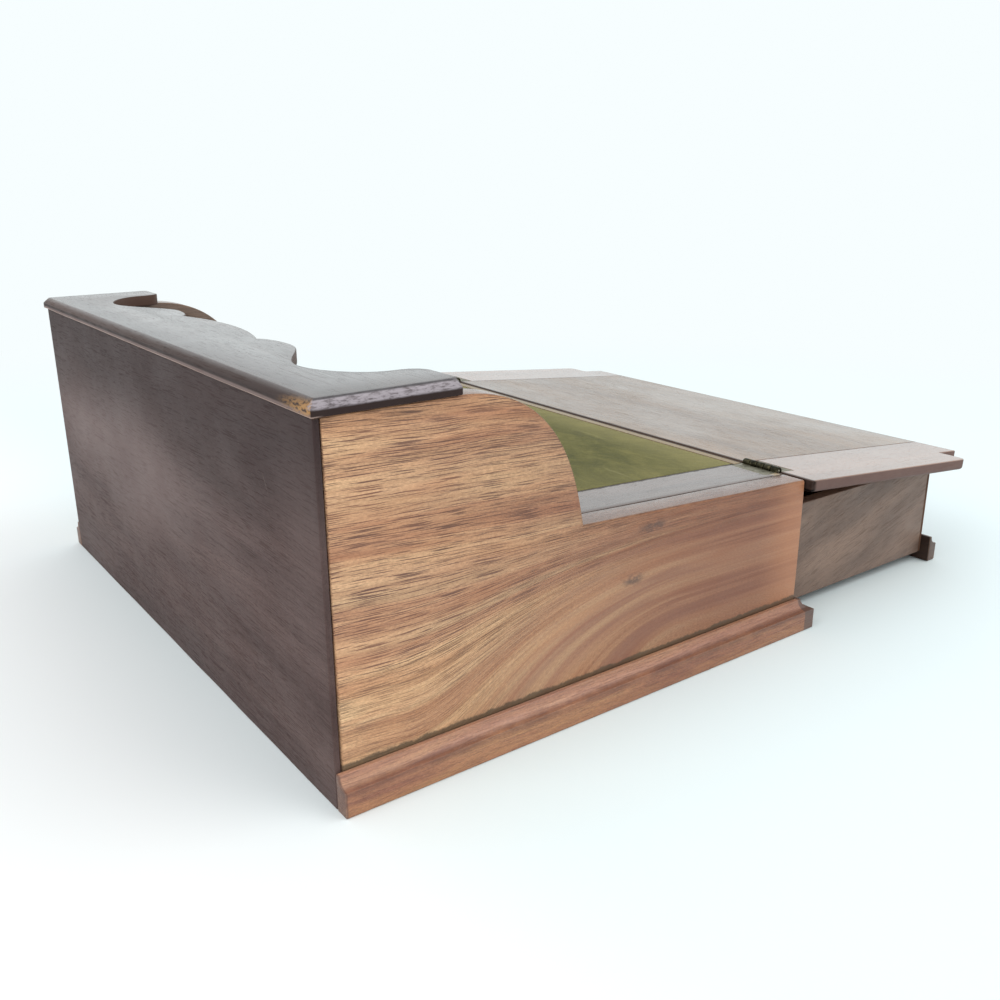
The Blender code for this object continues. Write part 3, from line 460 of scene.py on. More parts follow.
class Finish(Nodes):
    """The nodes of a material; shades are given as a paint card gives them."""

    def __init__(self, name, **sockets):
        self.material = bpy.data.materials.new(name)
        self.material.use_nodes = True
        super().__init__(self.material.node_tree)
        self.shader = self.tree.nodes["Principled BSDF"]
        self.set(**sockets)

    def set(self, **sockets):
        """Feeds the shader's sockets, named with _ for a space."""
        for socket, value in sockets.items():
            self.feed(self.shader.inputs[socket.replace("_", " ")], value)

    def place(self):
        return self.node("TexCoord", {}, "Object")

    def parts(self, vector):
        return tuple(self.node("SeparateXYZ", {"Vector": vector}).node.outputs)

    def times(self, *shares):
        """The product of several shares."""
        product = shares[0]
        for share in shares[1:]:
            product = self.math("MULTIPLY", product, share)
        return product

    def shifted(self, base, value, factor):
        """The base plus a value times a factor."""
        return self.math("MULTIPLY_ADD", value, factor, base)

    def fade(self, value, start, end):
        """0 before start, 1 after end, smooth between; start may be the larger."""
        return self.node("MapRange", {"Value": value, "From Min": start, "From Max": end},
                         interpolation_type="SMOOTHSTEP")

    def spread(self, value, low, high):
        """A share from 0 to 1 set out between two values."""
        return self.node("MapRange", {"Value": value, "To Min": low, "To Max": high})

    def noise(self, vector, stretch, detail=2.0, rough=0.5, shift=(0.0, 0.0, 0.0), bend=0.0, output="Fac"):
        """Noise stretched by one number for each axis, or by one for all."""
        stretch = np.broadcast_to(stretch, 3).tolist()
        placed = self.node("Mapping", {"Vector": vector, "Scale": stretch, "Location": shift})
        return self.node("TexNoise", {"Vector": placed, "Scale": 1.0, "Detail": detail, "Roughness": rough,
                                      "Distortion": bend}, output)

    def patches(self, vector, stretch, cover, detail=3.0, rough=0.6, shift=(0.0, 0.0, 0.0), bend=0.0):
        """Soft patches where noise rises through the cover's two values."""
        return self.fade(self.noise(vector, stretch, detail, rough, shift, bend), *cover)

    def ramp(self, value, *stops):
        """A colour for each value, between stops of a position and a shade."""
        made = self.node("ValToRGB", {"Fac": value}).node
        band = made.color_ramp.elements
        for element, (position, shade) in zip(band, (stops[0], stops[-1])):
            element.position, element.color = position, tone(*shade)
        for position, shade in stops[1:-1]:
            band.new(position).color = tone(*shade)
        return made.outputs["Color"]

    def mix(self, share, first, second, mode="MIX"):
        return self.node("Mix", {0: share, 6: first, 7: second}, 2, data_type="RGBA", blend_type=mode)

    def stain(self, colour, shade, *shares, mode="MIX"):
        """Takes a colour towards a shade, by the product of the shares."""
        return self.mix(self.times(*shares), colour, tone(*shade), mode)

    def veil(self, colour, share, value, dark, clear):
        """Darkens a colour by a share: to the dark stop's shade where a value is low, not at all where it is clear."""
        return self.mix(share, colour, self.ramp(value, dark, (clear, (255, 255, 255))), "MULTIPLY")

    def edge(self):
        """Wear along the arrises."""
        return self.node("Attribute", {}, "Fac", attribute_name="edge")

    def rim(self):
        """1 on a board's narrow edges, 0 on its two faces."""
        return self.node("Attribute", {}, "Fac", attribute_name="rim")

    def away(self, place, centre, reach):
        """Distance from a point, with each axis measured by its own reach."""
        apart = self.node("VectorMath", {0: place, 1: centre}, operation="SUBTRACT")
        apart = self.node("VectorMath", {0: apart, 1: reach}, operation="DIVIDE")
        return self.node("VectorMath", {0: apart}, "Value", operation="LENGTH")

    def spot(self, place, centre, reach):
        """1 at a point, falling to 0 at its reach along each axis."""
        return self.fade(self.away(place, centre, reach), 1.0, 0.15)

    def wander(self, vector, stretch, amount, shift=(0.0, 0.0, 0.0)):
        """Moves the place sideways by soft noise, so that the grain isn't ruled straight."""
        drift = self.noise(vector, stretch, 1.0, shift=shift, output="Color")
        centred = self.node("VectorMath", {0: drift, 1: (0.5, 0.5, 0.5)}, operation="SUBTRACT")
        return self.node("VectorMath", {0: centred, 1: amount, 2: vector}, operation="MULTIPLY_ADD")

    def scale(self, factor, *names):
        """Multiplies what the shader's named sockets already get."""
        for name in names:
            socket = self.shader.inputs[name]
            before = socket.links[0].from_socket if socket.is_linked else socket.default_value
            self.feed(socket, self.times(before, factor))

    def dim(self, share, low, *names):
        """Takes the shader's named sockets down to a low part of what they get, by a share."""
        self.scale(self.spread(share, 1.0, low), *names)

    def bump(self, height, distance, strength=1.0, **under):
        return self.node("Bump", {"Height": height, "Distance": distance, "Strength": strength, **under}, "Normal")

    def done(self, colour, roughness, normal):
        self.set(Base_Color=colour, Roughness=roughness, Normal=normal)
        return self.material


def along(axis, with_grain, across):
    """Noise scale that is long with the grain and short across it."""
    return tuple(with_grain if place == axis else across for place in "xyz")


def grain_layers(wood, vector, axis, shades, figure=(3.5, 60.0), pore_share=0.5, pore_size=(90.0, 2000.0),
                 cover=(0.63, 0.77), lines=0.4, speckle=0.3, seed=0.0, spared=None):
    """Walnut colour: broad figure, growth lines, fine speckle and short dark pores that gather in streaks.

    The shades are the figure's, dark, middle and light, and the pores'.
    """
    dark, middle, light, pore = shades

    def layer(with_grain, across, detail, rough, bend=0.0):
        shift = (seed, seed * 1.7, seed * 0.6)
        return wood.noise(vector, along(axis, with_grain, across), detail, rough, shift, bend)

    colour = wood.ramp(layer(*figure, 3.0, 0.55, 0.35), (0.30, dark), (0.50, middle), (0.70, light))
    colour = wood.veil(colour, lines, layer(9.0, 420.0, 3.0, 0.6), (0.32, (176, 160, 150)), 0.64)
    colour = wood.veil(colour, speckle, layer(620.0, 1700.0, 2.0, 0.7), (0.32, (160, 150, 146)), 0.66)
    streaks = layer(10.0, 140.0, 2.0, 0.6)
    pores = wood.fade(wood.shifted(layer(*pore_size, 1.0, 0.6), streaks, 0.18), *cover)
    if spared:
        pores = wood.times(pores, spared)
    return wood.stain(colour, pore, pores, pore_share), pores


def surface(wood, vector, pores, axis, gloss, depth=0.0001):
    """Roughness and relief of old polish: sunk pores, fibre, faint waves and scuffs."""
    scuffs = wood.noise(vector, along(axis, 420.0, 1400.0), 2.0, 0.6)
    uneven = wood.shifted(wood.times(wood.noise(vector, 35.0, 3.0, 0.6), 0.6), scuffs, 0.4)
    rough = wood.shifted(wood.spread(wood.fade(uneven, 0.3, 0.7), *gloss), pores, 0.15)
    fibre = wood.noise(vector, along(axis, 60.0, 2300.0), 2.0, 0.6)
    fine = wood.bump(wood.shifted(wood.times(fibre, 0.3), pores, -1.0), depth)
    return rough, wood.bump(wood.noise(vector, 26.0, 1.0), 0.0008, 0.25, Normal=fine)


def worn_edges(wood, place, colour, shade, share, cover=(0.40, 0.62)):
    """Lets the bare wood show on the arrises, in patches."""
    return wood.stain(colour, shade, wood.edge(), wood.patches(place, 130.0, cover), share)


def side_walnut():
    """Golden walnut: straight pores above, and low down a pink figure that sweeps up towards two knots.

    Inside it is painted darker as shade and nearly black under the shoulder as painted shadow,
    and paler along the shoulder's edge as a painted highlight.
    """
    wood = Finish("golden_walnut", IOR=1.5, Coat_Roughness=0.18)
    place = wood.place()
    x, y, z = wood.parts(place)
    sweep = wood.times(wood.fade(y, 0.100, -0.050), wood.fade(z, 0.092, 0.018))
    lean = wood.shifted(wood.shifted(z, sweep, -0.105), y, -0.05)
    flow = wood.node("CombineXYZ", {"X": x, "Y": y, "Z": lean})
    flow = wood.wander(flow, (6.0, 16.0, 24.0), (0.0, 0.0, 0.0035))
    swept = wood.fade(sweep, 0.06, 0.45)
    front = wood.fade(y, 0.14, -0.09)
    spared = wood.times(wood.spread(swept, 1.0, 0.15), wood.spread(front, 1.0, 0.5),
                        wood.spread(wood.fade(z, 0.066, 0.026), 1.0, 0.55))
    shades = ((204, 146, 106), (240, 190, 143), (252, 212, 162), (76, 50, 42))
    colour, pores = grain_layers(wood, flow, "y", shades, figure=(5.0, 120.0), pore_share=0.95,
                                 pore_size=(58.0, 2500.0), cover=(0.59, 0.73),
                                 lines=wood.spread(swept, 0.55, 0.15), speckle=0.5, spared=spared)
    bands = wood.patches(flow, along("y", 6.0, 52.0), (0.40, 0.62), 3.0, 0.5, (4.0, 2.0, 7.0), 0.5)
    colour = wood.stain(colour, (158, 104, 90), bands, wood.spread(swept, 0.22, 0.60),
                        wood.spread(wood.fade(y, -0.02, -0.10), 1.0, 0.4))
    warm = wood.patches(flow, along("y", 14.0, 60.0), (0.45, 0.68), 3.0, 0.6, (1.0, 6.0, 3.0), 0.5)
    colour = wood.stain(colour, (206, 140, 96), warm, 0.22)
    colour = wood.stain(colour, (149, 114, 112), front, 0.85, mode="MULTIPLY")
    colour = wood.stain(colour, (214, 146, 100), wood.fade(y, -0.095, -0.128), 0.35)
    smudge = wood.patches(place, (300.0, 240.0, 420.0), (0.30, 0.60))
    for spot, reach in (((-0.016, 0.0545), (0.009, 0.004)), ((-0.027, 0.0765), (0.012, 0.0035))):
        knot = wood.spot(place, (-HALF_WIDTH, *spot), (0.01, *reach))
        colour = wood.stain(colour, (84, 62, 56), knot, smudge, 0.8)
    ragged = wood.shifted(z, wood.noise(place, (60.0, 90.0, 60.0), 4.0, 0.8), 0.0045)
    line = wood.fade(ragged, MOULDING_HEIGHT + 0.0052, MOULDING_HEIGHT + 0.0040)
    colour = wood.stain(colour, (74, 64, 48), line, 0.8)
    # Painted shade: the inner faces darker brown.
    inside = wood.fade(wood.math("ABSOLUTE", x), HALF_WIDTH - 0.009, INNER_FACE + 0.001)
    colour = wood.stain(colour, (74, 54, 45), inside, 0.8)
    # Painted shadow: nearly black on the inner face under the shoulder.
    bow = wood.away(place, (0.0, SHOULDER_TOP[0], STEP[1]),
                    (10.0, SHOULDER_TOP[0] - STEP[0], TALL_HEIGHT - STEP[1]))
    colour = wood.stain(colour, (30, 23, 20), inside, wood.fade(bow, 0.95, 0.86), wood.fade(z, 0.105, 0.125), 0.8)
    # Painted highlight: a paler band on the inner face along the shoulder's edge, standing in for the lit top edge.
    colour = wood.stain(colour, (150, 130, 116), inside, wood.fade(bow, 0.90, 0.96), wood.fade(y, 0.085, 0.070), 0.5)
    colour = wood.stain(colour, (108, 84, 74), wood.rim(), 0.7)
    wood.set(Coat_Weight=wood.times(wood.fade(wood.rim(), 0.6, 1.0), 0.4))
    wood.dim(wood.edge(), 0.15, "Specular IOR Level")
    colour = worn_edges(wood, place, colour, (206, 168, 128), 0.12)
    rough, normal = surface(wood, flow, pores, "y", (0.34, 0.50))
    return wood.done(colour, wood.shifted(rough, wood.rim(), -0.16), normal)


def plain_walnut(name, axis, shades, bare, gloss, seed, worn, turn=None, worn_cover=(0.40, 0.62), depth=0.0001,
                 extra=None, polish=0.0, shine=0.5, rim_shade=None, **grain):
    """Walnut with the grain along one axis, a little wandering, bare wood on worn arrises and polish on top."""
    wood = Finish(name, IOR=1.5, Specular_IOR_Level=shine, Coat_Weight=polish, Coat_Roughness=0.18)
    place = wood.place()
    vector = wood.node("Mapping", {"Vector": place, "Rotation": turn}) if turn else place
    vector = wood.wander(vector, along(axis, 9.0, 18.0), (0.006, 0.006, 0.006), (seed, 0.0, seed))
    colour, pores = grain_layers(wood, vector, axis, shades, seed=seed, **grain)
    rough, normal = surface(wood, vector, pores, axis, gloss, depth)
    if rim_shade:
        rim = wood.fade(wood.rim(), 0.05, 0.60)
        colour = wood.stain(colour, rim_shade, rim, 0.85)
        wood.set(Coat_Weight=wood.spread(rim, polish, 0.0), Specular_IOR_Level=wood.spread(rim, shine, 0.12))
        rough = wood.shifted(rough, rim, 0.25)
    if extra:
        colour = extra(wood, place, colour)
    return wood.done(worn_edges(wood, place, colour, bare, worn, worn_cover), rough, normal)


def back_marks_and_sheen(wood, place, colour):
    """Painted reflection: paler clouds and middle, a darker top; a rubbed near edge and a few thin scratches."""
    x, _, z = wood.parts(place)
    # Painted sheen: paler clouds.
    cloud = wood.patches(place, (9.0, 9.0, 14.0), (0.42, 0.70), 3.0, 0.55, (2.0, 0.0, 5.0), 0.4)
    colour = wood.stain(colour, (112, 94, 90), cloud, 0.3)
    # Painted reflection: a paler middle.
    painted_sheen = wood.spot(place, (0.055, REAR, 0.088), (0.17, 0.05, 0.046))
    colour = wood.stain(colour, (122, 106, 103), painted_sheen, wood.spread(cloud, 0.45, 0.7))
    # Painted reflection: darker towards the top.
    colour = wood.stain(colour, (48, 35, 35), wood.fade(z, 0.090, 0.135), 0.75)
    rubbed = wood.spot(place, (-0.160, REAR, 0.095), (0.035, 0.05, 0.06))
    colour = wood.stain(colour, (124, 106, 102), rubbed, 0.18)
    bent = wood.wander(place, 14.0, (0.03, 0.0, 0.03))
    slanted = wood.node("Mapping", {"Vector": bent, "Rotation": (0.0, 1.1, 0.0)})
    marks = wood.patches(slanted, (26.0, 26.0, 800.0), (0.70, 0.78), 1.0, 0.5, (3.0, 1.0, 8.0))
    few = wood.patches(place, 24.0, (0.56, 0.70), 2.0, 0.5, (7.0, 3.0, 1.0))
    return wood.stain(colour, (158, 140, 130), marks, few, wood.spread(wood.fade(x, -0.02, -0.13), 0.1, 0.5))


def crest_marks(wood, place, colour):
    """Brown scallop walls, grey flakes on the cut near end, gold at the near rear corner and a pale foot behind."""
    x, y, z = wood.parts(place)
    foot = TALL_HEIGHT + GAP
    scallop = wood.times(wood.rim(), wood.fade(wood.math("ABSOLUTE", x), CREST_END - 0.006, CREST_END - 0.012),
                         wood.fade(y, CREST_REAR - 0.006, CREST_REAR - 0.012))
    colour = wood.stain(colour, (106, 82, 72), scallop, 0.7)
    end = wood.fade(x, 0.0036 - CREST_END, 0.0030 - CREST_END)
    flakes = wood.patches(place, (900.0, 240.0, 900.0), (0.34, 0.58), 5.0, 0.75)
    colour = wood.stain(colour, (164, 155, 160), end, wood.fade(z, foot + 0.0022, foot + 0.0032),
                        wood.spread(flakes, 0.25, 0.95))
    colour = wood.stain(colour, (40, 33, 35), end, wood.fade(z, foot + 0.0051, foot + 0.0056), 0.85)
    corner = CREST_REAR - CREST_END
    behind = wood.fade(wood.math("ADD", x, y), corner, corner + 0.0003)
    colour = wood.stain(colour, (150, 128, 122), wood.fade(z, foot + 0.0020, foot + 0.0012),
                        wood.fade(y, CREST_REAR - 0.0006, CREST_REAR - 0.0003), behind, 0.45)
    rubbed = wood.spot(place, (0.002 - CREST_END, CREST_REAR, foot + 0.0028), (0.026, 0.006, 0.0042))
    bare = wood.patches(place, (420.0, 900.0, 900.0), (0.36, 0.56), 4.0, 0.7)
    return wood.stain(colour, (172, 130, 82), behind, rubbed, bare, 0.85)


def moulding_marks_and_shading(wood, place, colour):
    """A cove painted paler as a highlight, over a dark line of painted shade and patchy dirt;
    cut ends that took the stain darker, and redder wood in front.
    """
    _, y, z = wood.parts(place)
    shoulder = MOULDING_SHOULDER
    # Painted highlight: the cove made paler.
    colour = wood.stain(colour, (228, 190, 172), wood.fade(z, shoulder - 0.0004, shoulder + 0.0006), 0.16)
    # Painted shade, patchy like dirt: a dark line where the cove meets the plinth.
    dirt_and_shade_patches = wood.patches(place, (60.0, 45.0, 60.0), (0.34, 0.60), 3.0, 0.6, (2.0, 5.0, 1.0))
    colour = wood.stain(colour, (100, 64, 53), wood.fade(z, shoulder - 0.0036, shoulder - 0.0006),
                        wood.fade(z, shoulder + 0.0016, shoulder + 0.0004), wood.spread(dirt_and_shade_patches, 0.2, 0.6))
    colour = wood.stain(colour, (180, 124, 82), wood.fade(z, 0.0070, 0.0025), 0.25)
    colour = wood.stain(colour, (176, 134, 120), wood.fade(y, 0.06, -0.10), 0.35, mode="MULTIPLY")
    colour = wood.stain(colour, (84, 60, 52), wood.fade(y, REAR - 0.0012, REAR - 0.0003), 0.75)
    return wood.stain(colour, (84, 64, 58), wood.fade(y, FRONT + 0.0002, FRONT - 0.0008), 0.8)


def foot_ends_and_shade(wood, place, colour):
    """Greyer cut ends on the moulding under the drawer, and painted shade, nearly black, on its back face."""
    x, y, _ = wood.parts(place)
    end = wood.fade(wood.math("ABSOLUTE", x), RETURN_INNER - 0.0018, RETURN_INNER - 0.0010)
    colour = wood.stain(colour, (84, 76, 70), end, 0.5)
    face = FRONT - DRAWER_REACH
    # Painted shade: the back face of the moulding nearly black.
    rear = wood.times(wood.fade(y, face - 0.0014, face - 0.0007), wood.fade(y, FRONT - 0.05, FRONT - 0.06))
    wood.dim(rear, 0.3, "Specular IOR Level")
    return wood.stain(colour, (42, 34, 30), rear, 0.85)


def joint_dirt_and_shade(wood, place, colour):
    """Dull brown dirt where box and lid meet, with painted shade on the narrow hinge edge, nearly black near the
    corners.
    """
    x, y, _ = wood.parts(place)
    away = wood.math("ABSOLUTE", wood.math("SUBTRACT", y, FRONT - 0.0008))
    away = wood.shifted(away, wood.noise(place, 160.0, 3.0, 0.6), 0.0006)
    # Painted shade with dirt: the narrow hinge edge made darker.
    edge = wood.times(wood.fade(y, FRONT - 0.0058, FRONT - 0.0030), wood.rim())
    amount = wood.math("MAXIMUM", wood.fade(away, 0.0040, 0.0026), edge)
    wood.dim(amount, 0.1, "Coat Weight", "Specular IOR Level")
    colour = wood.stain(colour, (62, 48, 42), amount, 0.9)
    # Painted shadow: nearly black on the hinge edge near the corners.
    corner = wood.fade(wood.math("ABSOLUTE", x), HALF_WIDTH - 0.03, HALF_WIDTH - 0.01)
    return wood.stain(colour, (20, 15, 14), edge, corner)


def lid_clouds(wood, place, colour):
    """Old polish, thick and milky in soft streaks and worn thin over warmer wood between them."""
    cloud = wood.patches(place, (6.0, 15.0, 9.0), (0.36, 0.66), 3.0, 0.5, (5.0, 1.0, 2.0), 0.3)
    colour = wood.stain(colour, (106, 100, 94), cloud, 0.15)
    warm = wood.patches(place, (7.0, 18.0, 9.0), (0.44, 0.72), 3.0, 0.5, (9.0, 4.0, 6.0), 0.3)
    near = wood.fade(wood.parts(place)[0], 0.02, -0.12)
    wood.scale(wood.times(wood.spread(cloud, 0.45, 1.6), wood.spread(near, 1.0, 1.35)), "Coat Weight")
    colour = wood.stain(colour, (158, 115, 72), warm, wood.spread(near, 0.2, 0.4))
    return joint_dirt_and_shade(wood, place, colour)


def border_dirt_and_shade(wood, place, colour):
    """A ragged dark line along the cut edge of the baize, a pale strip in front, and the joint's dirt and painted
    shade.
    """
    x, y, _ = wood.parts(place)
    away = wood.math("SUBTRACT", wood.math("ABSOLUTE", x), BAIZE_HALF)
    away = wood.shifted(away, wood.noise(place, (500.0, 240.0, 500.0), 3.0, 0.7), 0.0032)
    line = wood.fade(away, 0.0040, 0.0032)
    colour = wood.stain(colour, (52, 42, 34), line, 0.85)
    wood.dim(line, 0.1, "Specular IOR Level")
    strip = wood.fade(y, FRONT + 0.0076, FRONT + 0.0066)
    colour = wood.stain(colour, (182, 160, 126), strip, 0.6)
    wood.dim(wood.math("MAXIMUM", line, wood.times(strip, 0.5)), 0.0, "Coat Weight")
    return joint_dirt_and_shade(wood, place, colour)


def baize_cloth():
    """Felted wool: olive in clouds, with nap, fuzz and a trodden edge.

    Paler towards the front as a painted sheen and paler at the near end; creases painted as shade and highlight.
    """
    cloth = Finish("olive_baize", Sheen_Weight=0.1, Sheen_Roughness=0.5, Sheen_Tint=tone(214, 214, 160))
    place = cloth.place()
    x, y, _ = cloth.parts(place)
    cloud = cloth.noise(place, (34.0, 60.0, 34.0), 7.0, 0.8, bend=0.5)
    colour = cloth.ramp(cloud, (0.32, (68, 68, 21)), (0.5, (97, 94, 37)), (0.68, (130, 122, 62)))
    # Painted sheen: paler towards the front edge.
    colour = cloth.stain(colour, (164, 154, 100), cloth.fade(y, FRONT + 0.045, FRONT + 0.006), 0.6)
    colour = cloth.stain(colour, (150, 141, 88), cloth.fade(x, -0.085, -0.128), 0.3)
    drawn = cloth.wander(place, 70.0, (0.0, 0.005, 0.0))
    # Creases painted as light and shade: one dark shaded line and pale highlit lines.
    creases = (((-0.048, -0.0975), 0.020, (58, 60, 26)), ((-0.046, -0.1015), 0.024, (150, 143, 92)),
               ((-0.114, -0.057), 0.016, (154, 146, 96)), ((0.060, -0.035), 0.022, (146, 140, 90)))
    for centre, length, shade in creases:
        crease_shading = cloth.spot(drawn, (*centre, STEP[1] - 0.004), (length, 0.0016, 0.02))
        colour = cloth.stain(colour, shade, crease_shading, 0.5)
    slant = cloth.node("Mapping", {"Vector": place, "Rotation": (0.0, 0.0, 0.6)})
    colour = cloth.veil(colour, 0.3, cloth.noise(slant, (420.0, 60.0, 60.0), 3.0, 0.7), (0.3, (150, 150, 130)), 0.7)
    fuzz = cloth.noise(place, 1500.0, 3.0, 0.7)
    colour = cloth.veil(colour, 0.5, fuzz, (0.3, (140, 140, 120)), 0.7)
    colour = cloth.stain(colour, (40, 42, 22), cloth.edge(), 0.85)
    return cloth.done(colour, cloth.spread(fuzz, 0.86, 1.0), cloth.bump(fuzz, 0.0004, 0.8))


def aged_brass():
    """Brass: rubbed to a pale olive on the leaves, gone nearly black on the barrel."""
    metal = Finish("aged_brass", Metallic=1.0)
    place = metal.place()
    cloud = metal.noise(place, 420.0, 4.0, 0.65)
    rubbed = metal.ramp(cloud, (0.34, (112, 107, 90)), (0.52, (138, 132, 114)), (0.72, (160, 154, 136)))
    black = metal.ramp(cloud, (0.34, (34, 32, 25)), (0.54, (66, 62, 46)), (0.72, (118, 108, 84)))
    colour = metal.stain(metal.mix(metal.rim(), rubbed, black), (176, 160, 116), metal.edge(), 0.3)
    grit = metal.noise(place, 2600.0, 2.0, 0.6)
    return metal.done(colour, metal.spread(cloud, 0.56, 0.34), metal.bump(grit, 0.0001, 0.5))


INNER_SHADES = ((78, 54, 42), (98, 70, 54), (116, 84, 64), (54, 38, 32))
POLISHED_DEPTH = 0.00002
WALNUT = side_walnut()
DARK_WALNUT = plain_walnut(
    "dark_walnut", "x", ((72, 53, 50), (86, 66, 63), (100, 79, 75), (54, 40, 39)), (142, 112, 98), (0.48, 0.62), 3.1,
    0.4, pore_share=0.3, figure=(5.0, 34.0), speckle=0.45, shine=0.18, extra=back_marks_and_sheen)
CREST_WALNUT = plain_walnut(
    "crest_walnut", "x", ((62, 46, 44), (74, 56, 54), (88, 68, 64), (48, 36, 36)), (178, 152, 142), (0.16, 0.26), 3.7,
    0.9, worn_cover=(0.25, 0.40), pore_share=0.15, lines=0.15, speckle=0.3, depth=POLISHED_DEPTH, polish=0.5,
    rim_shade=(46, 34, 32), extra=crest_marks)
MOULDING_WALNUT = plain_walnut(
    "moulding_walnut", "y", ((162, 106, 85), (188, 132, 98), (202, 149, 107), (98, 66, 60)), (210, 172, 150),
    (0.28, 0.40), 5.3, 0.25, pore_share=0.35, lines=0.3, figure=(14.0, 190.0), cover=(0.59, 0.77), speckle=0.5,
    extra=moulding_marks_and_shading)
FRONT_MOULDING_WALNUT = plain_walnut(
    "front_moulding_walnut", "x", ((96, 62, 48), (120, 82, 64), (140, 100, 78), (66, 44, 36)), (170, 130, 104),
    (0.32, 0.46), 7.7, 0.5, extra=foot_ends_and_shade)
LID_WALNUT = plain_walnut(
    "lid_walnut", "x", ((110, 82, 60), (124, 95, 69), (136, 106, 78), (76, 56, 44)), (140, 112, 90), (0.18, 0.28), 11.0,
    0.3, pore_share=0.25, lines=0.22, speckle=0.2, depth=POLISHED_DEPTH, polish=0.36, rim_shade=(100, 78, 74),
    extra=lid_clouds)
CLEAT_WALNUT = plain_walnut(
    "cleat_walnut", "y", ((122, 88, 70), (142, 104, 84), (160, 120, 98), (88, 64, 54)), (124, 98, 88), (0.14, 0.24),
    12.0, 0.2, pore_share=0.1, lines=0.2, speckle=0.2, depth=POLISHED_DEPTH, polish=0.8, rim_shade=(100, 78, 74),
    extra=joint_dirt_and_shade)
BORDER_WALNUT = plain_walnut(
    "border_walnut", "y", ((88, 70, 64), (104, 84, 76), (120, 98, 90), (62, 48, 46)), (150, 128, 118), (0.18, 0.30),
    13.0, 0.3, pore_share=0.15, lines=0.25, speckle=0.3, depth=POLISHED_DEPTH, polish=0.66, extra=border_dirt_and_shade)
DRAWER_WALNUT = plain_walnut(
    "drawer_walnut", "y", ((76, 56, 48), (118, 95, 82), (146, 119, 102), (64, 48, 42)), (150, 122, 100), (0.44, 0.6),
    17.0, 0.4, turn=(0.30, 0.0, 0.0), pore_share=0.25, figure=(10.0, 36.0), lines=0.18, speckle=0.2)
INNER_WALNUT = plain_walnut("inner_walnut", "x", INNER_SHADES, (140, 108, 84), (0.42, 0.6), 19.0, 0.5)
DIVIDER_WALNUT = plain_walnut("divider_walnut", "z", INNER_SHADES, (140, 108, 84), (0.42, 0.6), 23.0, 0.5)
FRONT_WALNUT = plain_walnut(
    "front_walnut", "x", ((140, 92, 64), (170, 120, 84), (188, 140, 100), (80, 54, 42)), (200, 158, 120), (0.32, 0.46),
    29.0, 0.5, pore_share=0.6, pore_size=(52.0, 2300.0), cover=(0.61, 0.77), lines=0.6, rim_shade=(92, 68, 56))
KNOB_WALNUT = plain_walnut(
    "knob_walnut", "y", ((56, 36, 30), (72, 48, 40), (90, 62, 50), (36, 24, 22)), (130, 96, 76), (0.22, 0.34), 31.0,
    0.5)
BAIZE = baize_cloth()
BRASS = aged_brass()


# ---------------------------------------------------------------- carcass

def side_boards():
    """Tall at the rear, then a round shoulder that falls to the low sloping front."""
    crown = (SHOULDER_TOP[0] - SHOULDER_CROWN, TALL_HEIGHT)
    fall = (STEP[0] + SHOULDER_FALL * math.sin(SHOULDER_LEAN), STEP[1] + SHOULDER_FALL * math.cos(SHOULDER_LEAN))
    shoulder = bezier(SHOULDER_TOP, crown, fall, STEP, 60)
    rear_end = REAR - BACK_LIP - GAP
    corners = np.concatenate([[(FRONT, 0.0), (rear_end, 0.0), (rear_end, TALL_HEIGHT), SHOULDER_TOP], shoulder,
                              [(FRONT, FRONT_HEIGHT)]])
    radius = np.zeros(len(corners))
    radius[[0, 1, 2, -1]] = SIDE_CORNERS
    outline = soft_corners(corners, radius)
    for seed, (name, side) in enumerate(SIDES, 11):
        shell = slab(outline, SIDE_THICKNESS, worn_arris(outline, SIDE_ARRIS, seed))
        place = at(min(side * HALF_WIDTH, side * INNER_FACE)) @ ACROSS
        piece(name + "_side_board", shell, place, WALNUT, "carcass", name + "_side_panel")


def rabbeted(face, half, lip, inner, back, radius):
    """Outline of a board whose face runs out at both ends in a thin lip, past its narrower inner part."""
    corners = mirrored([(0.0, face), (half, face), (half, lip), (inner, lip), (inner, back)])
    return soft_corners(corners, np.where(corners[:, 0] != 0.0, radius, 0.0))


def back_board():
    """Rabbeted at both ends, so that a thin lip covers the rear ends of the sides."""
    outline = rabbeted(REAR, HALF_WIDTH, REAR - BACK_LIP, INNER_FACE - GAP, BACK_INNER, BACK_CORNER)
    shell = slab(outline, TALL_HEIGHT, worn_arris(outline, BACK_ARRIS, 21))
    piece("back_board", shell, at(), DARK_WALNUT, "carcass", "back_panel")


def crest_edge():
    """Right half of the scalloped front edge, from the middle out: lobe, cusp, lobe, bay and horn."""
    horn, flank, bay, lobe, cusp = ((CREST_END - inset, depth) for inset, depth in (HORN, FLANK, BAY, LOBE, CUSP))
    rise = CREST_MIDDLE - cusp[1]
    lobe_lead = (lobe[0] - cusp[0]) / 3
    bay_lead = (bay[0] - lobe[0]) / 3
    flank_lead = (flank[0] - bay[0]) / 2
    horn_lead = (horn[0] - flank[0]) / 2
    runs = [
        bezier((0.0, CREST_MIDDLE), (cusp[0] / 3, CREST_MIDDLE), (cusp[0] * 2 / 3, CREST_MIDDLE - rise / 3), cusp, 16),
        bezier(cusp, (cusp[0] + lobe_lead * 0.7, cusp[1] + (lobe[1] - cusp[1]) * 0.8), (lobe[0] - lobe_lead, lobe[1]),
               lobe, 16),
        bezier(lobe, (lobe[0] + bay_lead, lobe[1]), (bay[0] - bay_lead, bay[1]), bay, 24),
        bezier(bay, (bay[0] + flank_lead, bay[1]), (flank[0], flank[1] - (flank[1] - bay[1]) * 0.55), flank, 24),
        bezier(flank, (flank[0], flank[1] + (horn[1] - flank[1]) * 0.7), (horn[0] - horn_lead, horn[1]), horn, 16),
    ]
    return np.concatenate(runs)


